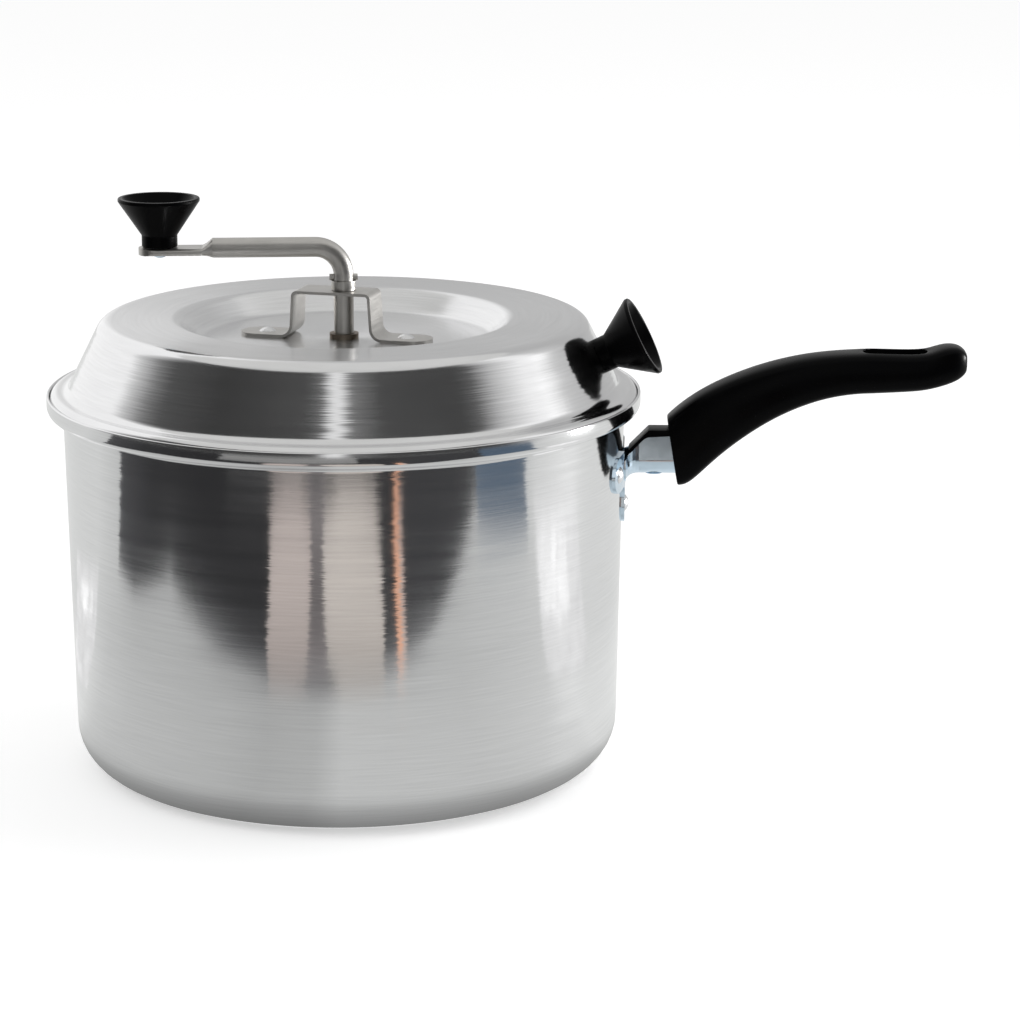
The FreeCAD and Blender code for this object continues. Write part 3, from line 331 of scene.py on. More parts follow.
class POPPER_OT_lid(bpy.types.Operator):
    """Press the lid: sunk centre, flat ring, steep slope and curled flange"""

    bl_idname = "popper.lid"
    bl_label = "Lid"

    def execute(self, context):
        lid = context.scene.popper_lid
        outline = [
            (lid.hole_radius, lid.recess_floor),
            (lid.recess_radius, lid.recess_floor),
            (lid.mouth_radius, LID_TOP),
            (lid.top_radius, LID_TOP),
            (lid.slope_foot, lid.flange_height),
            (LID_RADIUS + lid.flange_reach, lid.flange_height),
            (LID_RADIUS + lid.flange_reach, LID_FOOT),
        ]
        bends = [lid.recess_bend, lid.recess_bend, lid.top_bend, lid.foot_bend, lid.flange_curl]
        piece = turn_outline("lid", bend_outline(outline, bends, LID_BEND_STEPS), False)
        thicken(piece, lid.sheet)
        finish_piece(piece, "lid", "lid_aluminium", "lid_shell")
        return {"FINISHED"}


# Each of the grip's stations, in millimetres along and up from the popper's origin: the point on the upper
# line, the point on the lower line, and half the width there.
GRIP_STATIONS = (
    ((138.3, 152.4), (143.2, 122.6), 9.6),
    ((139.6, 153.7), (144.5, 122.5), 9.8),
    ((145.0, 158.7), (149.0, 123.6), 10.4),
    ((156.0, 166.0), (161.0, 136.6), 11.2),
    ((174.0, 173.9), (181.0, 151.4), 11.6),
    ((193.0, 179.0), (198.0, 159.2), 11.4),
    ((208.0, 181.0), (210.5, 162.6), 11.2),
    ((220.7, 181.5), (221.2, 164.0), 11.3),
    ((227.0, 181.5), (227.2, 164.3), 11.4),
    ((243.0, 181.1), (242.8, 165.2), 11.6),
    ((249.3, 181.9), (249.3, 166.0), 11.4),
    ((255.5, 184.6), (255.5, 167.4), 10.9),
    ((262.0, 184.6), (262.0, 169.8), 9.2),
    ((265.3, 181.5), (265.3, 173.0), 5.6),
)

# The first section starts as a ring with a radius of one, turned so that no point is at its top. Points
# further off both axes than RING_CORNER are corners, and the ones past RING_TOP are at the top or bottom.
RING_POINTS = 12
RING_TURN = math.radians(15)
RING_CORNER = 0.5
RING_TOP = 0.95

# The hanging slot's ends, half the strip round the middle line that it opens, how steep a face may be there,
# and how much the strip is widened.
SLOT_START = 0.2207
SLOT_END = 0.2493
SLOT_STRIP = 0.002
SLOT_FACING = 0.7
SLOT_WIDENING = 1.3

# The tongue's ends, foot and top, and the place and facing of the cut that slopes its upper front edge.
TONGUE_START = 0.12215
TONGUE_END = 0.146
TONGUE_FOOT = 0.12915
TONGUE_TOP = 0.1472
TONGUE_CUT_PLACE = (0.1295, 0, 0.14607)
TONGUE_CUT_FACING = (-0.712, 0, 0.702)
TOUCHING = 0.0001


def grip_station(number):
    """Centre, half width, half height and lean of one of the grip's stations."""
    upper, lower, half_width = GRIP_STATIONS[number]
    top = Vector(upper) * MILLIMETRE
    foot = Vector(lower) * MILLIMETRE
    middle = (top + foot) / 2
    lean = math.atan2(foot.x - top.x, top.y - foot.y)
    return Vector((middle.x, 0, middle.y)), half_width * MILLIMETRE, (top - foot).length / 2, lean


def lean_section(lean, centre):
    """Leans the selected section back towards the pot."""
    bpy.ops.transform.rotate(value=lean, orient_axis="Y", center_override=centre)


def square_up(body, centre):
    """Fills the ring out to a rounded square with a broad top and bottom."""

    def off_axes(vertex):
        away = vertex.co - centre
        return min(abs(away.y), abs(away.z))

    for reach, wanted in (
        ((1, 1.035, 1.035), lambda vertex: off_axes(vertex) < RING_CORNER),
        ((1, 1.25, 1.25), lambda vertex: off_axes(vertex) > RING_CORNER),
        ((1, 1.5, 1), lambda vertex: abs(vertex.co.z - centre.z) > RING_TOP),
    ):
        select_where(body, "VERT", wanted)
        bpy.ops.transform.resize(value=reach, center_override=centre)
    bpy.ops.mesh.select_all(action="SELECT")


def over_slot(face, side):
    """Whether a face of the grip lies over the hanging slot, above (1) or below (-1) it."""
    centre = face.calc_center_median()
    in_strip = SLOT_START < centre.x < SLOT_END and abs(centre.y) < SLOT_STRIP
    return in_strip and face.normal.z * side > SLOT_FACING


def round_slot(edge):
    """Whether an edge of the grip is on the rim of the opened slot."""
    middle = (edge.verts[0].co + edge.verts[1].co) / 2
    return edge.is_boundary and SLOT_START <= middle.x <= SLOT_END


def open_slot(piece, rim):
    """Opens the hanging slot: a sunk rim above and below, joined by a wall."""
    for side in (1, -1):
        select_where(piece, "FACE", lambda face: over_slot(face, side))
        bpy.ops.transform.resize(value=(1, SLOT_WIDENING, 1), center_override=(SLOT_START, 0, 0))
        bpy.ops.mesh.inset(thickness=rim, depth=0)
        bpy.ops.mesh.extrude_region_move(TRANSFORM_OT_translate={"value": (0, 0, -side * 3 * rim)})
        bpy.ops.mesh.delete(type="FACE")
    select_where(piece, "EDGE", round_slot)
    bpy.ops.mesh.bridge_edge_loops()


def along_foot(edge):
    """Whether an edge of the tongue's block runs along its foot."""
    first, second = (vertex.co for vertex in edge.verts)
    return abs(first.x - second.x) > TOUCHING and abs(first.z - TONGUE_FOOT) < TOUCHING


class POPPER_OT_grip(bpy.types.Operator):
    """Mould the grip: a body drawn out station by station, a hanging slot and the tongue in the bracket"""

    bl_idname = "popper.grip"
    bl_label = "Grip"

    def execute(self, context):
        sizes = context.scene.popper_grip
        body = self.draw_body(sizes)
        open_slot(body, sizes.slot_rim)
        bpy.ops.object.mode_set(mode="OBJECT")
        smooth = body.modifiers.new("smooth", "SUBSURF")
        smooth.levels = sizes.smoothness
        smooth.render_levels = sizes.smoothness
        bpy.ops.object.modifier_apply(modifier=smooth.name)
        bpy.ops.object.mode_set(mode="EDIT")
        face_outwards()
        finish_piece(body, "pot", "phenolic", "handle_grip")
        tongue = self.cut_tongue(sizes)
        finish_piece(tongue, "pot", "phenolic")
        return {"FINISHED"}

    def draw_body(self, sizes):
        """The grip's body as a cage, from the front face to the tip."""
        centre, half_width, half_height, lean = grip_station(0)
        bpy.ops.object.select_all(action="DESELECT")
        bpy.ops.mesh.primitive_circle_add(
            vertices=RING_POINTS, radius=1, location=centre, rotation=(0, math.radians(90), 0)
        )
        body = start_piece("handle_grip_body")
        bpy.ops.transform.rotate(value=RING_TURN, orient_axis="X", center_override=centre)
        square_up(body, centre)
        bpy.ops.transform.resize(value=(1, half_width, half_height), center_override=centre)
        lean_section(lean, centre)
        for number in range(1, len(GRIP_STATIONS)):
            following, width_there, height_there, lean_there = grip_station(number)
            bpy.ops.mesh.extrude_region_move(TRANSFORM_OT_translate={"value": following - centre})
            lean_section(-lean, following)
            bpy.ops.transform.resize(
                value=(1, width_there / half_width, height_there / half_height), center_override=following
            )
            lean_section(lean_there, following)
            centre, half_width, half_height, lean = following, width_there, height_there, lean_there
        bpy.ops.mesh.edge_face_add()
        bpy.ops.mesh.inset(thickness=sizes.tip_edge, depth=0)
        bpy.ops.mesh.select_mode(type="EDGE")
        bpy.ops.mesh.select_all(action="DESELECT")
        bpy.ops.mesh.select_non_manifold()
        bpy.ops.mesh.edge_face_add()
        bpy.ops.mesh.inset(thickness=sizes.face_edge, depth=0)
        face_outwards()
        return body

    def cut_tongue(self, sizes):
        """The tongue, from just off the pot's wall back into the grip's body."""
        bpy.ops.object.select_all(action="DESELECT")
        bpy.ops.mesh.primitive_cube_add(
            size=1,
            location=((TONGUE_START + TONGUE_END) / 2, 0, (TONGUE_FOOT + TONGUE_TOP) / 2),
            scale=(TONGUE_END - TONGUE_START, sizes.tongue_width, TONGUE_TOP - TONGUE_FOOT),
        )
        tongue = start_piece("handle_grip_tongue")
        select_where(tongue, "EDGE", along_foot)
        bpy.ops.mesh.bevel(offset=sizes.tongue_corner, segments=8)
        bpy.ops.mesh.select_all(action="SELECT")
        bpy.ops.mesh.bisect(
            plane_co=TONGUE_CUT_PLACE, plane_no=TONGUE_CUT_FACING, use_fill=True, clear_outer=True
        )
        select_where(tongue, "FACE", lambda face: face.normal.z > 0.5 or face.normal.x < -0.5)
        bpy.ops.mesh.bevel(offset=sizes.tongue_edge, segments=3)
        face_outwards()
        return tongue


# Finishes

# A pattern that isn't stretched along any axis, the span that most of a noise's values lie in, how much more
# the lathe marks change up the wall than along its radius, and how far the satin takes to fade out.
EVEN = (1, 1, 1)
MID_NOISE = (0.3, 0.7)
MARKS_UP_WALL = 1.7
SATIN_FADE = 0.004


def add_node(tree, kind, **settings):
    """A shader node with its settings."""
    node = tree.nodes.new(kind)
    for name, value in settings.items():
        setattr(node, name, value)
    return node


def new_finish(name, base_colour, metallic, roughness):
    """A material with a plain shader. Returns the material, its tree and its shader."""
    material = bpy.data.materials.new(name)
    material.use_nodes = True
    tree = material.node_tree
    shader = tree.nodes["Principled BSDF"]
    shader.inputs["Base Color"].default_value = (*base_colour, 1)
    shader.inputs["Metallic"].default_value = metallic
    shader.inputs["Roughness"].default_value = roughness
    return material, tree, shader


def object_place(tree, scale=EVEN):
    """The place on the piece, stretched by a scale along each axis."""
    place = add_node(tree, "ShaderNodeTexCoord")
    stretch = add_node(tree, "ShaderNodeMapping")
    stretch.inputs["Scale"].default_value = scale
    tree.links.new(place.outputs["Object"], stretch.inputs["Vector"])
    return stretch.outputs["Vector"]


def axis_distance(tree):
    """The distance from the popper's axis."""
    radius = add_node(tree, "ShaderNodeVectorMath", operation="LENGTH")
    tree.links.new(object_place(tree, (1, 1, 0)), radius.inputs[0])
    return radius.outputs["Value"]


def lathe_place(tree, around, along):
    """A place that changes slowly round the axis and fast along the outline, as lathe marks do."""
    place = add_node(tree, "ShaderNodeTexCoord")
    parts = add_node(tree, "ShaderNodeSeparateXYZ")
    tree.links.new(place.outputs["Object"], parts.inputs["Vector"])
    outline = add_node(tree, "ShaderNodeMath", operation="MULTIPLY_ADD")
    outline.inputs[1].default_value = MARKS_UP_WALL
    tree.links.new(parts.outputs["Z"], outline.inputs[0])
    tree.links.new(axis_distance(tree), outline.inputs[2])
    lathe = add_node(tree, "ShaderNodeCombineXYZ")
    tree.links.new(parts.outputs["X"], lathe.inputs["X"])
    tree.links.new(parts.outputs["Y"], lathe.inputs["Y"])
    tree.links.new(outline.outputs["Value"], lathe.inputs["Z"])
    stretch = add_node(tree, "ShaderNodeMapping")
    stretch.inputs["Scale"].default_value = (around, around, along)
    tree.links.new(lathe.outputs["Vector"], stretch.inputs["Vector"])
    return stretch.outputs["Vector"]


def noise(tree, place, detail, scale=1):
    """Soft noise at a place."""
    texture = add_node(tree, "ShaderNodeTexNoise")
    texture.inputs["Scale"].default_value = scale
    texture.inputs["Detail"].default_value = detail
    tree.links.new(place, texture.inputs["Vector"])
    return texture.outputs["Fac"]


def spread(tree, value, span, result):
    """Maps a value's span on to another one."""
    ranges = add_node(tree, "ShaderNodeMapRange")
    ranges.inputs["From Min"].default_value, ranges.inputs["From Max"].default_value = span
    ranges.inputs["To Min"].default_value, ranges.inputs["To Max"].default_value = result
    tree.links.new(value, ranges.inputs["Value"])
    return ranges.outputs["Result"]


def combine(tree, operation, *values):
    """Adds, multiplies or compares values, one after the other."""
    result, *others = values
    for value in others:
        step = add_node(tree, "ShaderNodeMath", operation=operation)
        tree.links.new(result, step.inputs[0])
        tree.links.new(value, step.inputs[1])
        result = step.outputs["Value"]
    return result


def tint(tree, shader, value, base_colour, darkest, lightest):
    """Varies the colour with a value, from a darker to a lighter shade of it."""
    mix = add_node(tree, "ShaderNodeMix", data_type="RGBA")
    for socket, factor in (("A", darkest), ("B", lightest)):
        mix.inputs[socket].default_value = (*(min(1, part * factor) for part in base_colour), 1)
    tree.links.new(value, mix.inputs["Factor"])
    tree.links.new(mix.outputs["Result"], shader.inputs["Base Color"])


def roughen(tree, shader, value, lowest, highest, span=MID_NOISE):
    """Varies the roughness with a value."""
    tree.links.new(spread(tree, value, span, (lowest, highest)), shader.inputs["Roughness"])


def raise_surface(tree, shader, height, depth, strength, under=None):
    """Lifts and sinks the surface by a height, on top of another relief where one is given."""
    relief = add_node(tree, "ShaderNodeBump")
    relief.inputs["Distance"].default_value = depth
    relief.inputs["Strength"].default_value = strength
    tree.links.new(height, relief.inputs["Height"])
    if under:
        tree.links.new(under, relief.inputs["Normal"])
    tree.links.new(relief.outputs["Normal"], shader.inputs["Normal"])
    return relief.outputs["Normal"]


def wander(tree, value, reach):
    """A normal that wanders along the turn by a value, as each lathe mark reflects a little aside."""
    surface = add_node(tree, "ShaderNodeNewGeometry")
    along = add_node(tree, "ShaderNodeVectorMath", operation="CROSS_PRODUCT")
    along.inputs[0].default_value = (0, 0, 1)
    tree.links.new(surface.outputs["Normal"], along.inputs[1])
    step = add_node(tree, "ShaderNodeVectorMath", operation="SCALE")
    tree.links.new(along.outputs["Vector"], step.inputs[0])
    tree.links.new(spread(tree, value, (0.25, 0.75), (-reach, reach)), step.inputs["Scale"])
    aside = add_node(tree, "ShaderNodeVectorMath", operation="ADD")
    tree.links.new(surface.outputs["Normal"], aside.inputs[0])
    tree.links.new(step.outputs["Vector"], aside.inputs[1])
    unit = add_node(tree, "ShaderNodeVectorMath", operation="NORMALIZE")
    tree.links.new(aside.outputs["Vector"], unit.inputs[0])
    return unit.outputs["Vector"]


def spun_aluminium(name, base_colour, roughness, satin, satin_radius, dents, straying):
    """Aluminium spun on a lathe: fine marks along the turn, satin inside a radius, and a faint unevenness."""
    material, tree, shader = new_finish(name, base_colour, metallic=1, roughness=roughness)
    shader.inputs["Anisotropic"].default_value = 0.8
    shader.inputs["Anisotropic Rotation"].default_value = 0.25
    coarse = noise(tree, lathe_place(tree, around=38, along=900), detail=4)
    fine = noise(tree, lathe_place(tree, around=110, along=3000), detail=2)
    bands = noise(tree, lathe_place(tree, around=4, along=160), detail=3)
    jags = noise(tree, lathe_place(tree, around=30, along=1800), detail=2)
    patches = noise(tree, object_place(tree), detail=2, scale=26)
    swell = noise(tree, object_place(tree, (1, 1, 0.6)), detail=1, scale=34)
    tint(tree, shader, coarse, base_colour, darkest=0.9, lightest=1.07)
    satin_edge = (satin_radius, satin_radius + SATIN_FADE)
    worn = combine(
        tree,
        "ADD",
        spread(tree, bands, MID_NOISE, (-0.015, 0.02)),
        spread(tree, patches, MID_NOISE, (roughness - 0.01, roughness + 0.02)),
        spread(tree, axis_distance(tree), satin_edge, (satin - roughness, 0)),
    )
    tree.links.new(worn, shader.inputs["Roughness"])
    aside = wander(tree, jags, straying)
    dented = raise_surface(tree, shader, swell, depth=dents, strength=1, under=aside)
    brushed = raise_surface(tree, shader, coarse, depth=0.00001, strength=0.5, under=dented)
    raise_surface(tree, shader, fine, depth=0.000004, strength=0.5, under=brushed)
    return material


def polished_steel(name, base_colour, roughness):
    """Polished steel with fine scratches and faint clouding."""
    material, tree, shader = new_finish(name, base_colour, metallic=1, roughness=roughness)
    scratches = noise(tree, object_place(tree, (60, 60, 1500)), detail=3)
    clouds = noise(tree, object_place(tree), detail=3, scale=140)
    tint(tree, shader, clouds, base_colour, darkest=0.86, lightest=1.08)
    roughen(tree, shader, scratches, lowest=roughness - 0.05, highest=roughness + 0.08)
    raise_surface(tree, shader, clouds, depth=0.00005, strength=0.5)
    return material


def zinc_plate(name, base_colour):
    """Bright zinc plating: smooth, a little blue, with a faint mottle."""
    material, tree, shader = new_finish(name, base_colour, metallic=1, roughness=0.12)
    mottle = noise(tree, object_place(tree), detail=3, scale=260)
    tint(tree, shader, mottle, base_colour, darkest=0.94, lightest=1.04)
    roughen(tree, shader, mottle, lowest=0.09, highest=0.17)
    raise_surface(tree, shader, mottle, depth=0.00002, strength=0.25)
    return material


def cast_aluminium(name, base_colour):
    """Plain aluminium of rivets and hub, slightly matt."""
    material, tree, shader = new_finish(name, base_colour, metallic=1, roughness=0.32)
    grain = noise(tree, object_place(tree), detail=4, scale=900)
    tint(tree, shader, grain, base_colour, darkest=0.82, lightest=1.06)
    roughen(tree, shader, grain, lowest=0.24, highest=0.42)
    raise_surface(tree, shader, grain, depth=0.00003, strength=0.5)
    return material


def turned_brass(name, base_colour):
    """Turned brass with fine tool marks."""
    material, tree, shader = new_finish(name, base_colour, metallic=1, roughness=0.28)
    marks = noise(tree, object_place(tree, (200, 200, 2600)), detail=2)
    tint(tree, shader, marks, base_colour, darkest=0.8, lightest=1.1)
    roughen(tree, shader, marks, lowest=0.2, highest=0.36)
    raise_surface(tree, shader, marks, depth=0.00003, strength=0.5)
    return material


def black_phenolic(name, base_colour, roughness):
    """Glossy black phenolic with the faint ripple of a moulding and a little handling wear."""
    material, tree, shader = new_finish(name, base_colour, metallic=0, roughness=roughness)
    shader.inputs["Specular IOR Level"].default_value = 0.05
    ripple = noise(tree, object_place(tree), detail=2, scale=110)
    wear = noise(tree, object_place(tree), detail=4, scale=45)
    tint(tree, shader, wear, base_colour, darkest=0.6, lightest=1.8)
    roughen(tree, shader, wear, lowest=roughness - 0.04, highest=roughness + 0.08, span=(0.35, 0.7))
    raise_surface(tree, shader, ripple, depth=0.00008, strength=0.3)
    return material


def dress(piece, material):
    """Gives a piece one material all over."""
    if not piece.material_slots:
        piece.data.materials.append(material)
    for slot in piece.material_slots:
        slot.material = material


class POPPER_OT_finishes(bpy.types.Operator):
    """Make each slot's finish and give it to the pieces and the frame's nodes that use it"""

    bl_idname = "popper.finishes"
    bl_label = "Finishes"

    def execute(self, context):
        look = context.scene.popper_finishes
        finishes = {
            "pot_aluminium": spun_aluminium(
                "spun_pot", look.aluminium, look.pot_roughness,
                satin=0.2, satin_radius=0, dents=0.00014, straying=0.012,
            ),
            "lid_aluminium": spun_aluminium(
                "pressed_lid", look.aluminium, look.lid_roughness,
                satin=0.22, satin_radius=0.0975, dents=0.00008, straying=0.024,
            ),
            "rivet_aluminium": cast_aluminium("rivet_aluminium", look.aluminium),
            "plated_steel": zinc_plate("zinc_plate", look.zinc),
            "bright_steel": polished_steel("polished_steel", look.steel, look.steel_roughness),
            "dark_steel": polished_steel("dark_steel", look.dark_steel, look.dark_steel_roughness),
            "brass": turned_brass("turned_brass", look.brass),
            "phenolic": black_phenolic("black_phenolic", look.phenolic, look.phenolic_roughness),
        }
        for subpart in frame["record"]["subparts"]:
            dress(frame["nodes"][subpart["node"]], finishes[subpart["material_slot"]])
        for piece in context.scene.objects:
            if piece.type == "MESH" and "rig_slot" in piece:
                dress(piece, finishes[piece["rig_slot"]])
        return {"FINISHED"}


# Stage

# The width of the camera's sensor, in millimetres, where the lamps hang, the point that they face, and how
# wide the pale floor is.
SENSOR_WIDTH = 36
LAMP_PLACES = {"lamp_left": (-1.3, -0.9, 1.9), "lamp_right": (1.4, 0.3, 2.0)}
LAMP_AIM = (0, 0, 0.1)
FLOOR_WIDTH = 14

# The mirrored table: its inner edge as a share of the pot's foot, how far out it runs as a multiple of that,
# and its height. The floor cards lie above it, and no two that overlap share a height.
TABLE_INNER = 0.85
TABLE_GROWTH = 40
TABLE_HEIGHT = 0.0005


def glow(name, base_colour, strength=1, mottle=0, around=(), outward=()):
    """A glow of one colour. Its strength can be mottled, and can change by shares: around the popper by
    azimuth from the camera's side, and outward by distance."""
    material = bpy.data.materials.new(name)
    material.use_nodes = True
    tree = material.node_tree
    tree.nodes.remove(tree.nodes["Principled BSDF"])
    light = add_node(tree, "ShaderNodeEmission")
    light.inputs["Color"].default_value = (*base_colour, 1)
    light.inputs["Strength"].default_value = strength
    shares = []
    if mottle:
        flecks = noise(tree, object_place(tree), detail=5, scale=45)
        shares.append(spread(tree, flecks, (0.35, 0.65), (1 - mottle, 1 + mottle)))
    if around:
        turn = add_node(tree, "ShaderNodeTexGradient", gradient_type="RADIAL")
        tree.links.new(object_place(tree), turn.inputs["Vector"])
        stops = [((azimuth + 90) / 360, share) for azimuth, share in around]
        shares.append(share_of(tree, turn.outputs["Fac"], stops))
    if outward:
        shares.append(share_of(tree, axis_distance(tree), outward))
    if shares:
        total = add_node(tree, "ShaderNodeMath", operation="MULTIPLY")
        total.inputs[1].default_value = strength
        tree.links.new(combine(tree, "MULTIPLY", *shares), total.inputs[0])
        tree.links.new(total.outputs["Value"], light.inputs["Strength"])
    tree.links.new(light.outputs["Emission"], tree.nodes["Material Output"].inputs["Surface"])
    return material


def share_of(tree, value, stops):
    """Turns a value into a share, by stops of value and share."""
    ramp = add_node(tree, "ShaderNodeValToRGB")
    elements = ramp.color_ramp.elements
    (first, low), *middle, (last, high) = stops
    elements[0].position, elements[0].color = first, (low, low, low, 1)
    elements[1].position, elements[1].color = last, (high, high, high, 1)
    for position, share in middle:
        elements.new(position).color = (share, share, share, 1)
    tree.links.new(value, ramp.inputs["Fac"])
    return ramp.outputs["Color"]


def mirror_card(card, name, paint):
    """Turns a mesh into a card that only mirrors see, hidden from the camera and from soft light."""
    card.name = name
    card.visible_camera = False
    card.visible_diffuse = False
    card.visible_shadow = False
    card.visible_transmission = False
    card.visible_volume_scatter = False
    card.data.materials.append(paint)


def floor_card(name, paint, height, edge):
    """A card on the floor, given as azimuths from the camera's side, each with its near and far distance."""
    bpy.ops.object.select_all(action="DESELECT")
    bpy.ops.mesh.primitive_grid_add(x_subdivisions=len(edge) - 1, y_subdivisions=1, size=2)
    card = bpy.context.active_object
    for vertex in card.data.vertices:
        azimuth_deg, near, far = edge[round((vertex.co.x + 1) / 2 * (len(edge) - 1))]
        distance = near if vertex.co.y < 0 else far
        azimuth = math.radians(azimuth_deg)
        vertex.co = (distance * math.sin(azimuth), -distance * math.cos(azimuth), height)
    mirror_card(card, name, paint)


def sky_card(name, paint, distance, azimuths, elevations):
    """A curved card round the popper, between two azimuths from the camera's side and two elevations."""
    bpy.ops.object.select_all(action="DESELECT")
    bpy.ops.mesh.primitive_grid_add(x_subdivisions=32, y_subdivisions=16, size=2)
    card = bpy.context.active_object
    left, right = azimuths
    low, high = elevations
    for vertex in card.data.vertices:
        azimuth = math.radians(left + (right - left) * (vertex.co.x + 1) / 2)
        elevation = math.radians(low + (high - low) * (vertex.co.y + 1) / 2)
        level = distance * math.cos(elevation)
        height = distance * math.sin(elevation)
        vertex.co = (level * math.sin(azimuth), -level * math.cos(azimuth), height)
    mirror_card(card, name, paint)


def seen_directly(tree):
    """One for rays from the camera, from mirrors and through glass, and zero for soft light."""
    rays = add_node(tree, "ShaderNodeLightPath").outputs
    return combine(tree, "MAXIMUM", rays["Is Camera Ray"], rays["Is Glossy Ray"], rays["Is Transmission Ray"])


def white_room(strength):
    """A room that looks white and lights the popper softly."""
    world = bpy.context.scene.world or bpy.data.worlds.new("room")
    bpy.context.scene.world = world
    world.use_nodes = True
    tree = world.node_tree
    background = tree.nodes["Background"]
    background.inputs["Color"].default_value = (1, 1, 1, 1)
    tree.links.new(spread(tree, seen_directly(tree), (0, 1), (strength, 1)), background.inputs["Strength"])


def pale_floor(base_colour, floor_glow):
    """A pale floor that keeps the popper's shadow and runs on into the white room."""
    bpy.ops.object.select_all(action="DESELECT")
    bpy.ops.mesh.primitive_plane_add(size=FLOOR_WIDTH)
    floor = bpy.context.active_object
    floor.name = "floor"
    material, tree, shader = new_finish("pale_floor", base_colour, metallic=0, roughness=0.9)
    shader.inputs["Specular IOR Level"].default_value = 0
    shader.inputs["Emission Color"].default_value = (1, 1, 1, 1)
    lift = spread(tree, seen_directly(tree), (0, 1), (0, floor_glow))
    tree.links.new(lift, shader.inputs["Emission Strength"])
    floor.data.materials.append(material)


def table_top(inner_radius):
    """The grey table that the metal mirrors, darker in the popper's own shade."""
    paint = glow(
        "table_top",
        (0.99, 1, 0.99),
        around=(
            (-90, 0.68), (-75, 0.62), (-34, 0.55), (-20, 0.5), (-5, 0.53), (3, 0.65), (44, 0.64),
            (63, 0.70), (78, 0.75), (90, 0.86), (255, 0.8), (269, 0.68),
        ),
        # Painted shadow: the table's glow is dimmed close to the pot's foot, where the popper shades it.
        outward=((0.1, 0.3), (0.135, 0.9), (0.16, 1), (0.22, 1), (0.32, 0.92), (0.5, 0.94)),
    )
    bpy.ops.object.select_all(action="DESELECT")
    bpy.ops.mesh.primitive_circle_add(vertices=96, radius=inner_radius, location=(0, 0, TABLE_HEIGHT))
    card = start_piece("table_top")
    bpy.ops.mesh.select_all(action="SELECT")
    bpy.ops.mesh.extrude_region_move()
    bpy.ops.transform.resize(value=(TABLE_GROWTH, TABLE_GROWTH, 1), center_override=(0, 0, 0))
    bpy.ops.object.mode_set(mode="OBJECT")
    mirror_card(card, "table_top", paint)


def dark_front():
    """The dark end of the room, in front of the table and off to its right."""
    front = glow(
        "front_card",
        (0.10, 0.10, 0.105),
        around=((-90, 1), (-72, 0.5), (-50, 0.4), (10, 0.38), (26, 0.66), (54, 0.66)),
        outward=((0.31, 1), (0.45, 0.85), (0.65, 0.8)),
    )
    near_front = glow("near_front_card", (0.13, 0.13, 0.135))
    far_front = glow("far_front_card", (0.3, 0.3, 0.295))
    blue = glow("blue_card", (0.095, 0.135, 0.19))
    floor_card("dark_front", front, height=0.001, edge=[
        (-90, 0.45, 3), (-80, 0.41, 3), (-70, 0.43, 3), (-62, 0.46, 3), (-46, 0.38, 3),
        (-34, 0.335, 3), (-20, 0.313, 3), (0, 0.313, 3), (20, 0.335, 3), (32, 0.375, 3),
        (44, 0.47, 3), (52, 0.59, 3), (54, 0.605, 3),
    ])
    floor_card("near_front", near_front, height=0.0013, edge=[
        (-50, 0.385, 0.42), (-25, 0.315, 0.36), (20, 0.33, 0.37), (34, 0.385, 0.42),
    ])
    floor_card("far_front", far_front, height=0.0015, edge=[(-40, 0.85, 2.9), (9, 0.85, 2.9)])
    floor_card("blue_right", blue, height=0.001, edge=[(54, 0.57, 3), (60, 0.55, 3), (76, 0.54, 3)])


def warm_openings():
    """The warm openings in the dark end, with the narrow lines beside them."""
    fading = ((0.31, 0.62), (0.42, 0.92), (0.55, 1))
    warm = glow("warm_card", (0.62, 0.545, 0.51), outward=fading)
    warmer = glow("warmer_card", (0.72, 0.66, 0.61), outward=fading)
    between = glow(
        "between_card", (0.34, 0.31, 0.31), outward=((0.32, 0.85), (0.4, 0.45), (0.5, 0.5), (0.62, 1))
    )
    copper = glow("copper_card", (0.92, 0.49, 0.32))
    rose = glow("rose_card", (0.60, 0.49, 0.44))
    floor_card("warm_left", warm, height=0.002, edge=[
        (-22.5, 0.36, 0.55), (-21, 0.3, 0.62), (-17, 0.3, 0.65), (-12, 0.3, 0.65),
        (-9, 0.31, 0.61), (-7.5, 0.45, 0.56),
    ])
    floor_card("warm_middle", warmer, height=0.002, edge=[
        (-3, 0.45, 0.56), (-1, 0.33, 0.61), (3, 0.3, 0.65), (10, 0.3, 0.65),
        (15, 0.3, 0.62), (17.5, 0.31, 0.52),
    ])
    floor_card("between", between, height=0.0016, edge=[(-9, 0.32, 0.64), (-1.5, 0.32, 0.64)])
    floor_card("copper_line", copper, height=0.002, edge=[(22, 0.33, 0.7), (23.7, 0.33, 0.7)])
    floor_card("rose_line", rose, height=0.002, edge=[(23.7, 0.33, 0.6), (25, 0.33, 0.6)])


def side_lights():
    """The pale, mottled lights at the table's two sides."""
    lit = glow("lit_card", (1, 1, 1), strength=1.1, mottle=0.3)
    pale = glow("pale_card", (1, 1, 1), strength=0.86, mottle=0.1)
    floor_card("pale_right", pale, height=0.001, edge=[(79, 0.27, 0.6), (104, 0.26, 0.6)])
    floor_card("lit_right", lit, height=0.0015, edge=[(80, 0.38, 0.54), (88, 0.34, 0.54), (96, 0.36, 0.5)])
    floor_card("pale_left", pale, height=0.001, edge=[(-128, 0.2, 0.42), (-104, 0.2, 0.42)])
    floor_card("lit_left", lit, height=0.0015, edge=[(-122, 0.32, 0.37), (-108, 0.32, 0.37)])


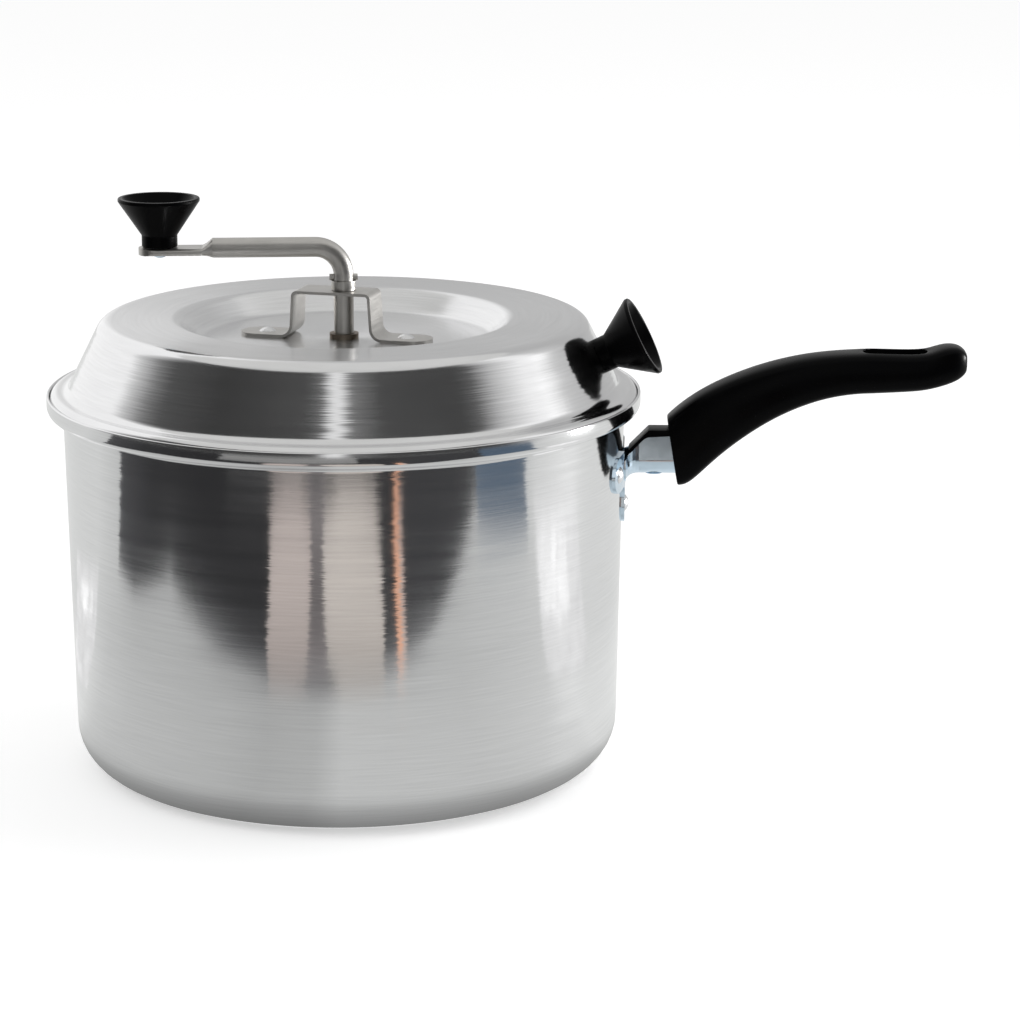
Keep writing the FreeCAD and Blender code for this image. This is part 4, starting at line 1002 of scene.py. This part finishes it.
def upper_room():
    """The room's walls, its ceiling and a bright window, above the table."""
    room = glow(
        "room_card",
        (1, 1, 1),
        strength=1.05,
        around=(
            (-90, 0.2), (-82, 0.085), (-55, 0.045), (-14, 0.05), (-6, 0.12), (-1, 0.85), (3, 0.85),
            (8, 0.18), (22, 0.06), (60, 0.06), (68, 0.11), (78, 0.52), (96, 1), (104, 1), (114, 0.62),
            (140, 0.5), (170, 0.52), (185, 0.52), (200, 1), (252, 1), (258, 0.62), (269, 0.22),
        ),
    )
    ceiling = glow("ceiling_card", (0.72, 0.72, 0.71))
    window = glow("window_card", (1, 1, 1), strength=90)
    sky_card("room", room, distance=3.2, azimuths=(-90, 270), elevations=(0, 50))
    sky_card("ceiling", ceiling, distance=3.3, azimuths=(-90, 270), elevations=(50, 90))
    sky_card("window", window, distance=3.1, azimuths=(98, 110), elevations=(2, 10))


def soft_lamp(name, place, size, power):
    """A large soft lamp that faces the popper."""
    light = bpy.data.lights.new(name, "AREA")
    light.shape = "DISK"
    light.size = size
    light.energy = power
    lamp = bpy.data.objects.new(name, light)
    lamp.location = place
    lamp.rotation_euler = (Vector(place) - Vector(LAMP_AIM)).to_track_quat("Z", "Y").to_euler()
    lamp.visible_glossy = False
    bpy.context.scene.collection.objects.link(lamp)


def place_camera(stage):
    """The camera at the photograph's place and angle."""
    lens = bpy.data.cameras.new("camera")
    lens.lens = stage.focal_length
    lens.sensor_width = SENSOR_WIDTH
    camera = bpy.data.objects.new("camera", lens)
    camera.location = stage.camera_place
    camera.rotation_euler = (math.pi / 2 - stage.camera_tilt, stage.camera_roll, stage.camera_pan)
    bpy.context.scene.collection.objects.link(camera)
    bpy.context.scene.camera = camera


class POPPER_OT_stage(bpy.types.Operator):
    """Set up the camera, the floor, the soft light and the cards that the metal mirrors"""

    bl_idname = "popper.stage"
    bl_label = "Stage"

    def execute(self, context):
        stage = context.scene.popper_stage
        place_camera(stage)
        context.scene.view_settings.view_transform = "Standard"
        white_room(stage.room_light)
        pale_floor(stage.floor, stage.floor_glow)
        table_top(context.scene.popper_pot.foot_radius * TABLE_INNER)
        for name, place in LAMP_PLACES.items():
            soft_lamp(name, place, stage.lamp_size, stage.lamp_power)
        dark_front()
        warm_openings()
        side_lights()
        upper_room()
        return {"FINISHED"}


# Add-on

class POPPER_PT_panel(bpy.types.Panel):
    """The popper's pieces, sizes and finishes"""

    bl_label = "Popcorn popper"
    bl_idname = "POPPER_PT_panel"
    bl_space_type = "VIEW_3D"
    bl_region_type = "UI"
    bl_category = "Popper"

    def draw(self, context):
        layout = self.layout
        for operator in OPERATORS:
            layout.operator(operator.bl_idname)
        for group in SETTINGS:
            settings = getattr(context.scene, group)
            box = layout.box()
            for name in settings.__annotations__:
                box.prop(settings, name)


SETTINGS = {
    "popper_stage": StageSettings,
    "popper_pot": PotSizes,
    "popper_lid": LidSizes,
    "popper_grip": GripSizes,
    "popper_finishes": Finishes,
}
OPERATORS = (
    POPPER_OT_stage,
    POPPER_OT_pot,
    POPPER_OT_lid,
    POPPER_OT_grip,
    POPPER_OT_finishes,
)
CLASSES = (*SETTINGS.values(), *OPERATORS, POPPER_PT_panel)


def register():
    """Registers the settings, the operators and the panel."""
    for kind in CLASSES:
        bpy.utils.register_class(kind)
    for name, group in SETTINGS.items():
        setattr(bpy.types.Scene, name, PointerProperty(type=group))


def unregister():
    """Takes away what register adds."""
    for name in SETTINGS:
        delattr(bpy.types.Scene, name)
    for kind in reversed(CLASSES):
        bpy.utils.unregister_class(kind)


def main():
    """Builds the popper's looks and its stage."""
    register()
    bpy.ops.popper.stage()
    bpy.ops.popper.pot()
    bpy.ops.popper.lid()
    bpy.ops.popper.grip()
    bpy.ops.popper.finishes()


if __name__ == "__main__":
    main()
